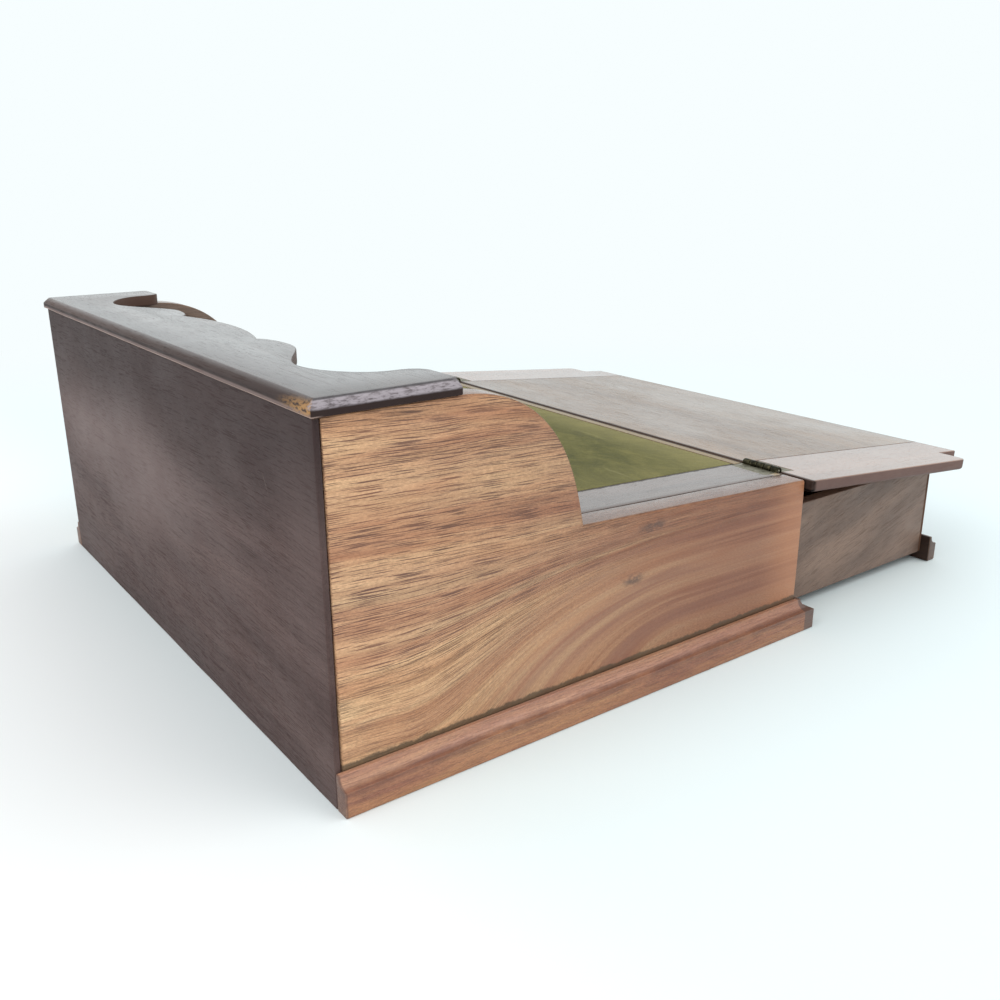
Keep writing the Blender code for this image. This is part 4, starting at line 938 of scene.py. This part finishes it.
def crest():
    """Scalloped along the front, chamfered along the top of the ends and the rear, worn along the rear."""
    half = [(x, REAR - depth) for x, depth in ((0.0, CREST_MIDDLE), *crest_edge())]
    corners = mirrored(half + [(CREST_END, REAR - HORN[1]), (CREST_END, CREST_REAR)])
    outline = soft_corners(corners, np.where(np.abs(corners[:, 0]) > CREST_END - GAP, CREST_CORNER, 0.0))
    x, y = outline[0].T
    rear = y > CREST_REAR - CREST_BAND
    outer = rear | (np.abs(x) > CREST_END - CREST_BAND)
    soft = worn_arris(outline, CREST_ARRIS, 31, 0.3, 2.5)
    top = tuple(np.where(outer, cut, arris) for cut, arris in zip(cut_arris(CREST_CHAMFER), soft))
    shell = slab(outline, CREST_THICKNESS, soft, top, (rear * 1.0, rear * (0.11 + 0.5 * x)))
    piece("crest", shell, at(z=TALL_HEIGHT + GAP), CREST_WALNUT, "carcass", "crest_board")


def box_board(name, node, body):
    """A plain board in the box of its node: a rectangle carried round its own edge section."""
    low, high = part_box(node)
    wide, deep, tall = high - low
    outline = soft_corners([(0.0, 0.0), (wide, 0.0), (wide, deep), (0.0, deep)], BOARD_ARRIS)
    piece(name, slab(outline, tall, round_arris(BOARD_ARRIS)), at(*low), INNER_WALNUT, body, node)


def dividers():
    """Upright partitions with a swept front edge, deeper at the foot than under the crest."""
    for name, _ in SIDES:
        low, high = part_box(name + "_divider")
        top, foot = (DIVIDER_TOP, high.z), (low.y, low.z)
        reach = (high.z - low.z) / 2
        sweep = bezier(foot, (foot[0], foot[1] + reach), (top[0], top[1] - reach), top, 30)
        corners = anticlockwise(np.concatenate([[(high.y, high.z), (high.y, low.z), foot], sweep]))
        shell = slab(soft_corners(corners, 0.0), high.x - low.x, round_arris(DIVIDER_ARRIS))
        piece(name + "_partition", shell, at(low.x) @ ACROSS, DIVIDER_WALNUT, "carcass",
              name + "_divider")


def moulding_section(low, flipped):
    """Distance out and height: a plinth with an eased arris, a quarter cove and a narrow top."""
    turn = np.linspace(1.5 * math.pi, math.pi, 14)
    wide = MOULDING_OUT - MOULDING_TOP
    tall = MOULDING_HEIGHT - MOULDING_SHOULDER
    cove = np.stack([MOULDING_OUT + wide * np.cos(turn), MOULDING_HEIGHT + tall * np.sin(turn)], 1)
    corners = np.concatenate([[(GAP, low), (MOULDING_OUT, low)], cove, [(GAP, MOULDING_HEIGHT)]])
    radius = np.zeros(len(corners))
    radius[[1, 2, -2]] = MOULDING_CORNERS
    if flipped:
        corners, radius = corners[::-1] * (-1.0, 1.0), radius[::-1]
    return soft_corners(corners, radius, FINE_SPACING)


def base_mouldings():
    """The section carried along each side and mitred into a short return across the front corner."""
    mitre = round_arris(MITRE_ARRIS)
    back = 2 * REAR
    length = HALF_WIDTH - RETURN_INNER
    for name, side in SIDES:
        shell = slab(moulding_section(0.0, side < 0), back, round_arris(BOARD_ARRIS), mitre)
        shell[0][:, 2] += np.where(shell[0][:, 2] > back / 2, np.abs(shell[0][:, 0]), 0.0)
        piece(name + "_plinth", shell, at(side * HALF_WIDTH, REAR) @ FORWARD, MOULDING_WALNUT, "carcass",
              name + "_base_moulding")
        shell = slab(moulding_section(0.0, True), length, mitre)
        out = np.abs(shell[0][:, 0]) - 2 * GAP
        far = shell[0][:, 2] > length / 2
        shell[0][:, 2] += np.where(far, out, 0.0) if side > 0 else np.where(far, 0.0, -out)
        start = RETURN_INNER if side > 0 else -HALF_WIDTH
        piece(name + "_plinth_return", shell, at(start, FRONT) @ ACROSS, FRONT_MOULDING_WALNUT, "carcass",
              name + "_moulding_return")


# ---------------------------------------------------------------- writing surface

def framed(low, high, margin, fine, coarse):
    """Grid lines of a panel: steps of a margin along both edges, and even steps between."""
    return np.concatenate([np.linspace(low, low + margin, fine + 1),
                           np.linspace(low + margin, high - margin, coarse + 1)[1:-1],
                           np.linspace(high - margin, high, fine + 1)])


def walls(*values):
    """Grid lines just before and just after each step of a face."""
    return [value + shift for value in values for shift in (-WALL, WALL)]


def grid(*groups):
    """Grid lines in order, each once."""
    return np.unique(np.round(np.concatenate(groups), DIGITS))


def eased(distance, radius=PANEL_EASE[-1]):
    """How far a face falls near its boundary: a quarter circle of that radius."""
    near = np.clip(1.0 - distance / radius, 0.0, 1.0)
    return radius * (1.0 - np.sqrt(1.0 - near ** 2))


def within(value, low, high):
    return (value > low) & (value < high)


def writing_board():
    """The fixed half of the writing surface: its face steps down for the baize, the leaves and the barrels."""
    half = INNER_FACE - GAP
    wide = BAIZE_HALF + GAP
    front, rear = BAIZE_FRONT - GAP, BAIZE_REAR + GAP
    leaf_end = LEAF_WIDTH - AXIS_FORWARD + GAP
    barrel_end = BARREL_RADIUS + GAP - AXIS_FORWARD
    ease = np.array(PANEL_EASE)
    xs = np.concatenate([walls(wide, *SEAT), half - ease])
    ys = grid(walls(front, rear, leaf_end, barrel_end), ease, PANEL_RUN - ease)

    def top(x, y):
        height = -eased(np.minimum(half - np.abs(x), np.minimum(y, PANEL_RUN - y)))
        at_hinge = within(np.abs(x), *SEAT)
        height = np.where((np.abs(x) < wide) & within(y, front, rear), BAIZE_TOP - BAIZE_THICKNESS - GAP, height)
        height = np.where(at_hinge & (y < leaf_end), -LEAF_DROP - LEAF_THICKNESS - GAP, height)
        return np.where(at_hinge & (y < barrel_end), -BARREL_RADIUS - GAP, height)

    shell = relief(grid(-xs, [0.0], xs), ys, top, lambda x, y: np.full_like(x, -PANEL_THICKNESS))
    piece("writing_board", shell, SLOPE_FRAME, BORDER_WALNUT, "carcass", "writing_panel")


def baize_sheet():
    """A thin sheet on a grid: soft unevenness of the felt, a sum of chance waves, sinking at its cut edge."""
    xs = framed(-BAIZE_HALF, BAIZE_HALF, 0.003, 4, 90)
    ys = framed(BAIZE_FRONT, BAIZE_REAR, 0.003, 4, 52)
    chance = np.random.default_rng(41)
    waves = chance.uniform(-190.0, 190.0, (14, 2))
    phases = chance.uniform(0.0, TURN, 14)

    def top(x, y):
        rim = np.minimum(np.minimum(x + BAIZE_HALF, BAIZE_HALF - x), np.minimum(y - BAIZE_FRONT, BAIZE_REAR - y))
        uneven = np.sin(x[..., None] * waves[:, 0] + y[..., None] * waves[:, 1] + phases).sum(-1)
        return BAIZE_TOP - 0.00003 + 0.00001 * uneven - eased(rim, BAIZE_EASE)

    shell = relief(xs, ys, top, lambda x, y: np.full_like(x, BAIZE_TOP - BAIZE_THICKNESS))
    cloth = piece("baize_sheet", shell, SLOPE_FRAME, BAIZE, "carcass", "baize")


# ---------------------------------------------------------------- lid

def rounded_under(shell, outer):
    """Counts the rounding of the lid's outer face as part of its edge."""
    points, quads, faces, worn = shell
    rise = np.clip((points[:, 2] - outer) / 0.0003, 0.0, 1.0)
    round_part = np.where(points[:, 2] < outer + LID_ROUND + MERGE, rise, 0.0)
    return points, quads, faces, np.stack([worn[0], np.maximum(worn[1], round_part)])


def lid_boards():
    """Centre board and two end cleats, rounded along the outer face and eased along the inner one."""
    inner = -AXIS_RISE
    outer = inner - LID_THICKNESS
    half = CLEAT_JOINT - GAP / 2
    ys = np.concatenate([LID_RIM - LID_LENGTH, (LID_HINGE_EDGE - LID_RIM)[::-1]])

    def edge_distance(y):
        return np.minimum(y + LID_LENGTH, LID_HINGE_EDGE - y)

    shell = relief(framed(-half, half, 0.0004, 1, 12), ys, lambda x, y: inner - eased(edge_distance(y)),
                   lambda x, y: outer + eased(edge_distance(y), LID_ROUND))
    piece("lid_middle", rounded_under(shell, outer), LID_FRAME, LID_WALNUT, "lid", "lid_board")
    for name, side in SIDES:
        lid_cleat(name, side, inner, outer)


def lid_cleat(name, side, inner, outer):
    """Grid in distance out and along: the ear stops short of the tongue, and its outer corner is round."""
    leaf_end = -LEAF_WIDTH - GAP
    notch_end = -BARREL_RADIUS - GAP
    xs = grid([CLEAT_JOINT + GAP / 2], walls(*SEAT), TONGUE_HALF - LID_RIM, TONGUE_HALF + LID_RIM[1:3],
              LID_HALF - LID_RIM)
    round_rows = EAR_ROUND * (1 - np.cos(np.linspace(0.0, QUARTER, 9))) - EAR_LENGTH
    ys = grid(LID_RIM - LID_LENGTH, -EAR_LENGTH - LID_RIM[1:], LID_RIM - EAR_LENGTH, round_rows,
              walls(leaf_end, notch_end), LID_HINGE_EDGE - LID_RIM)
    middle_x = (xs[:-1] + xs[1:])[:, None] / 2
    middle_y = (ys[:-1] + ys[1:])[None, :] / 2
    keep = (middle_x < TONGUE_HALF) | (middle_y > -EAR_LENGTH)

    def edge_distance(x, y):
        out = np.minimum(LID_HALF - x, np.hypot(np.maximum(TONGUE_HALF - x, 0), np.maximum(y + EAR_LENGTH, 0)))
        along_ear = np.where(x > TONGUE_HALF - MERGE / 10, y + EAR_LENGTH, y + LID_LENGTH)
        return np.maximum(np.minimum(np.minimum(out, along_ear), LID_HINGE_EDGE - y), 0.0)

    def top(x, y):
        height = inner - eased(edge_distance(x, y))
        at_hinge = within(x, *SEAT)
        height = np.where(at_hinge & (y > leaf_end), inner - LEAF_DROP - LEAF_THICKNESS - GAP, height)
        return np.where(at_hinge & (y > notch_end), inner - BARREL_RADIUS - GAP, height)

    def rounded(x, y):
        near = np.clip(EAR_ROUND - (y + EAR_LENGTH), 0.0, EAR_ROUND)
        pulled = EAR_ROUND - np.sqrt(EAR_ROUND ** 2 - near ** 2)
        share = np.clip((x - TONGUE_HALF) / (LID_HALF - TONGUE_HALF), 0.0, 1.0)
        return x - pulled * share * (y > -EAR_LENGTH - MERGE / 10), y

    shell = relief(xs, ys, top, lambda x, y: outer + eased(edge_distance(x, y), LID_ROUND), keep, rounded)
    points, quads, faces, worn = rounded_under(shell, outer)
    if side < 0:
        points, quads = points * (-1.0, 1.0, 1.0), quads[:, ::-1]
    piece(name + "_cleat", (points, quads, faces, worn), LID_FRAME, CLEAT_WALNUT, "lid",
          name + "_lid_cleat")


# ---------------------------------------------------------------- hinges

def knuckle(start):
    """A short tube round the pin, with eased ends, lying along X from its start."""
    bore = PIN_RADIUS + GAP
    ease = 0.0003
    half = [(bore, 0.0), (BARREL_RADIUS - ease, 0.0), (BARREL_RADIUS - ease * 0.3, ease * 0.3), (BARREL_RADIUS, ease)]
    profile = half + [(radius, KNUCKLE_LENGTH - height) for radius, height in reversed(half)]
    points, quads, faces, worn = turned(profile, 36, True)
    return moved((points, quads, faces, worn + [[0.0], [1.0]]), at(start) @ ACROSS)


def hinge_leaf(name, centre, part, first, way, axis_y, face, place, body):
    """A thin plate with comb teeth, joined to its own knuckles of the barrel."""
    start = centre - HINGE_LENGTH / 2
    pitch = KNUCKLE_LENGTH + GAP
    edge = axis_y + way * (BARREL_RADIUS + GAP)
    tooth = axis_y + way * BARREL_RADIUS * 0.7
    far = axis_y + way * LEAF_WIDTH
    own = range(first, KNUCKLES, 2)
    corners = [(start, far), (start, edge)]
    for number in own:
        low = start + number * pitch + GAP / 2
        high = low + KNUCKLE_LENGTH - GAP
        corners += [(low, edge), (low, tooth), (high, tooth), (high, edge)]
    corners = np.array(corners + [(start + HINGE_LENGTH, edge), (start + HINGE_LENGTH, far)])
    corners = corners[np.linalg.norm(corners - np.roll(corners, 1, axis=0), axis=1) > GAP]
    outline = soft_corners(anticlockwise(corners), LEAF_CORNER, FINE_SPACING)
    plate = moved(slab(outline, LEAF_THICKNESS, round_arris(LEAF_ARRIS, 4)), at(z=face - LEAF_DROP - LEAF_THICKNESS))
    barrel = at(y=axis_y, z=face + AXIS_RISE)
    shells = [plate] + [moved(knuckle(start + number * pitch), barrel) for number in own]
    piece(f"{name}_{part}_leaf", joined(shells), place, BRASS, body, f"{name}_hinge_{part}_leaf")


def hinge_pin(name, centre):
    """A rod along the barrel with a low dome at each end."""
    rise = 0.0003
    turn = np.linspace(0.0, QUARTER, 6)
    dome = np.stack([PIN_RADIUS * np.sin(turn), HINGE_LENGTH / 2 - rise + rise * np.cos(turn)], 1)
    profile = np.concatenate([dome * (1.0, -1.0), dome[::-1]])
    place = SLOPE_FRAME @ at(centre, -AXIS_FORWARD, AXIS_RISE) @ ACROSS
    piece(name + "_pin", turned(profile, 28), place, BRASS, "carcass", name + "_hinge_pin")


def screw(name, number, x, turn, part, _, way, axis_y, face, place, body):
    """A countersunk screw: a turned shank and cone, topped by two half moons with the slot between."""
    top = -LEAF_DROP
    slot = 0.00022
    sink = 0.00035
    shank = SCREW_RADIUS - 0.0008
    profile = [(0.0, top - 0.0044), (shank * 0.6, top - 0.0040), (shank, top - 0.0034), (shank, top - 0.0009),
               (SCREW_RADIUS - sink, top - sink - 0.0001), (SCREW_RADIUS - sink, top - sink), (0.0, top - sink)]
    shells = [turned(profile, 28)]
    swing = math.asin(slot / SCREW_RADIUS)
    for half_turn in (0.0, math.pi):
        arc = np.linspace(swing, math.pi - swing, 20) + half_turn
        moon = soft_corners(SCREW_RADIUS * np.stack([np.cos(arc), np.sin(arc)], 1), 0.0, 0.0006)
        shells.append(moved(slab(moon, sink, round_arris(0.00008, 4)), at(z=top - sink)))
    spot = place @ at(x, axis_y + way * SCREW_LINE, face) @ Matrix.Rotation(turn, 4, "Z")
    piece(f"{name}_{part}_screw_{number}", joined(shells), spot, BRASS, body,
          f"{part}_leaf_screw_{name}_{number}")


def hinges():
    """Two butt hinges: a leaf on the box and one on the lid, a pin, and two screws in each leaf."""
    turns = iter(SCREW_TURNS)
    for name, side in SIDES:
        centre = side * HINGE_CENTRE
        for leaf in LEAVES:
            hinge_leaf(name, centre, *leaf)
        hinge_pin(name, centre)
        for number, shift in ((1, -SCREW_SPACING / 2), (2, SCREW_SPACING / 2)):
            for leaf in LEAVES:
                screw(name, number, centre + shift, next(turns), *leaf)


# ---------------------------------------------------------------- drawer

def drawer():
    """Front lapped over the sides; the sides' section, with its groove, carried along their length."""
    outline = rabbeted(0.0, DRAWER_HALF, DRAWER_LIP, DRAWER_INSIDE - GAP, DRAWER_FRONT, DRAWER_CORNER)
    arris = round_arris(DRAWER_ARRIS)
    piece("drawer_face", slab(outline, DRAWER_HEIGHT, arris), DRAWER_FRAME, FRONT_WALNUT, "drawer",
          "drawer_front")
    deep, low, high = GROOVE
    section = np.array([(DRAWER_INSIDE, 0.0), (DRAWER_HALF, 0.0), (DRAWER_HALF, DRAWER_HEIGHT),
                        (DRAWER_INSIDE, DRAWER_HEIGHT), (DRAWER_INSIDE, high), (DRAWER_INSIDE + deep, high),
                        (DRAWER_INSIDE + deep, low), (DRAWER_INSIDE, low)])
    length = DRAWER_LENGTH - DRAWER_LIP - GAP
    for name, side in SIDES:
        outline = soft_corners(anticlockwise(section * (side, 1.0)), BOARD_ARRIS)
        shell = slab(outline, length, arris, round_arris(DRAWER_END_ARRIS))
        piece(f"drawer_{name}_board", shell, DRAWER_FRAME @ at(y=DRAWER_LENGTH) @ FORWARD, DRAWER_WALNUT, "drawer",
              f"drawer_{name}_side")
    box_board("drawer_rear_board", "drawer_back", "drawer")
    box_board("drawer_floor_board", "drawer_bottom", "drawer")
    length = 2 * (RETURN_INNER - 2 * GAP)
    shell = slab(moulding_section(0.0004, True), length, round_arris(0.0002))
    piece("drawer_plinth", shell, DRAWER_FRAME @ at(-length / 2, 0.0, -DRAWER_FLOOR) @ ACROSS, FRONT_MOULDING_WALNUT,
          "drawer", "drawer_base_moulding")


def knobs():
    """Mushroom head on a waisted stem, with a tenon through the drawer front."""
    radius, length, stem, tenon = 0.009, 0.015, 0.0045, 0.003
    crown = length - radius * 0.6
    turn = np.linspace(QUARTER, 0.0, 14)
    dome = np.stack([radius * np.cos(turn), crown + radius * 0.6 * np.sin(turn)], 1)
    under = bezier(dome[-1], (radius, crown - radius * 0.3), (stem, crown - radius * 0.2), (stem, crown - radius * 0.6),
                   10)
    flare = bezier(under[-1], (stem, radius * 0.3), (stem, radius * 0.15), (stem + radius * 0.2, GAP), 8)
    tail = [(tenon, GAP), (tenon, GAP - DRAWER_FRONT), (0.0, GAP - DRAWER_FRONT)]
    profile = np.concatenate([dome, under, flare, tail])[::-1]
    for name, side in SIDES:
        place = DRAWER_FRAME @ at(side * KNOB_PLACE[0], 0.0, KNOB_PLACE[1]) @ FORWARD
        piece(name + "_pull", turned(profile, 56), place, KNOB_WALNUT, "drawer", name + "_knob")


# ---------------------------------------------------------------- stage

def pale_paper():
    """White paper, which the eye sees fade into the room's white further off."""
    paper = Finish("pale_paper", Roughness=0.9, Specular_IOR_Level=0.1)
    place = paper.place()
    cloud = paper.node("MapRange", {"Value": paper.noise(place, 2.0), "From Min": 0.3, "From Max": 0.7})
    behind = paper.fade(paper.parts(place)[1], 0.06, 0.20)
    paper.set(Base_Color=paper.mix(behind, paper.mix(cloud, PAPER_DARK, PAPER_LIGHT), PAPER_BEHIND))
    away = paper.node("VectorMath", {0: place}, "Value", operation="LENGTH")
    share = paper.times(paper.fade(away, 0.30, 0.95), paper.seen())
    white = paper.node("Emission", {"Color": ROOM_WHITE, "Strength": 1.0})
    paper.shade("Material Output", share, paper.shader.outputs[0], white)
    return paper.material


def studio_floor():
    """A wide disc of rings and spokes: x = r cos a, y = r sin a, z = 0."""
    radius = np.concatenate([np.linspace(0.05, 1.0, 12), np.geomspace(1.2, 40.0, 14)])[:, None]
    angle = np.linspace(0.0, TURN, 64, endpoint=False)
    rings = np.stack([radius * np.cos(angle), radius * np.sin(angle), np.zeros((radius.size, angle.size))], -1)
    index = np.arange(radius.size * angle.size).reshape(radius.size, angle.size)
    around = np.roll(index, -1, axis=1)
    quads = np.stack([index[:-1], index[1:], around[1:], around[:-1]], -1).reshape(-1, 4)
    mesh = bpy.data.meshes.new("studio_floor")
    mesh.from_pydata(rings.reshape(-1, 3).tolist(), [], quads.tolist() + [index[0].tolist()])
    mesh.materials.append(pale_paper())
    floor = bpy.data.objects.new("studio_floor", mesh)
    bpy.context.scene.collection.objects.link(floor)


def soft_lamp(name, place, aim, power, colour):
    """A round lamp, 1.4 m wide, that faces a point."""
    lamp = bpy.data.lights.new(name, "AREA")
    lamp.shape = "DISK"
    lamp.size = 1.4
    lamp.energy = power
    lamp.color = colour
    made = bpy.data.objects.new(name, lamp)
    made.location = place
    made.rotation_euler = (Vector(aim) - Vector(place)).to_track_quat("-Z", "Y").to_euler()
    bpy.context.scene.collection.objects.link(made)


def studio_light():
    """An even pale room, white to the camera and in reflections, with a lamp on the writer's left and one behind."""
    world = bpy.data.worlds.new("pale_room")
    bpy.context.scene.world = world
    world.use_nodes = True
    room = Nodes(world.node_tree)
    glow = room.tree.nodes["Background"]
    room.feed(glow.inputs["Color"], ROOM_LIGHT)
    room.feed(glow.inputs["Strength"], ROOM_STRENGTH)
    room.shade("World Output", room.seen(), glow.outputs[0], room.node("Background", {"Color": ROOM_WHITE}))
    soft_lamp("window_lamp", (-0.9, -0.8, 1.4), (0.0, 0.0, 0.05), 7.0, (1.0, 0.98, 0.95))
    soft_lamp("rear_lamp", (-0.2, 1.5, 1.3), (0.0, 0.1, 0.0), 11.0, (0.97, 0.99, 1.0))


def camera():
    """At the photograph's place: a quarter view from behind the writer's left corner."""
    heading, dip, roll = (math.radians(angle) for angle in CAMERA_ANGLES)
    ahead = Vector((math.sin(heading) * math.cos(dip), -math.cos(heading) * math.cos(dip), -math.sin(dip)))
    right = ahead.cross(Vector((0.0, 0.0, 1.0))).normalized()
    up = right.cross(ahead)
    across = right * math.cos(roll) + up * math.sin(roll)
    above = up * math.cos(roll) - right * math.sin(roll)
    view = bpy.data.cameras.new("photo_view")
    view.sensor_width = CAMERA_SENSOR
    view.lens = CAMERA_LENS
    eye = bpy.data.objects.new("photo_view", view)
    place = Matrix((across, above, -ahead)).transposed().to_4x4()
    place.translation = CAMERA_PLACE
    eye.matrix_world = place
    bpy.context.scene.collection.objects.link(eye)
    bpy.context.scene.camera = eye


def dress():
    """All pieces; the four boards that hardly show keep their CAD shape."""
    side_boards()
    back_board()
    crest()
    dividers()
    box_board("shelf_board", "pigeonhole_shelf", "carcass")
    base_mouldings()
    writing_board()
    baize_sheet()
    lid_boards()
    hinges()
    drawer()
    knobs()
    for node in ("bottom_board", "front_rail", "left_ledger", "right_ledger"):
        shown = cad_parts[node]
        shown.data.materials.clear()
        shown.data.materials.append(FRONT_WALNUT if node == "front_rail" else INNER_WALNUT)


bpy.context.scene.view_settings.view_transform = "Standard"
camera()
studio_floor()
studio_light()
dress()
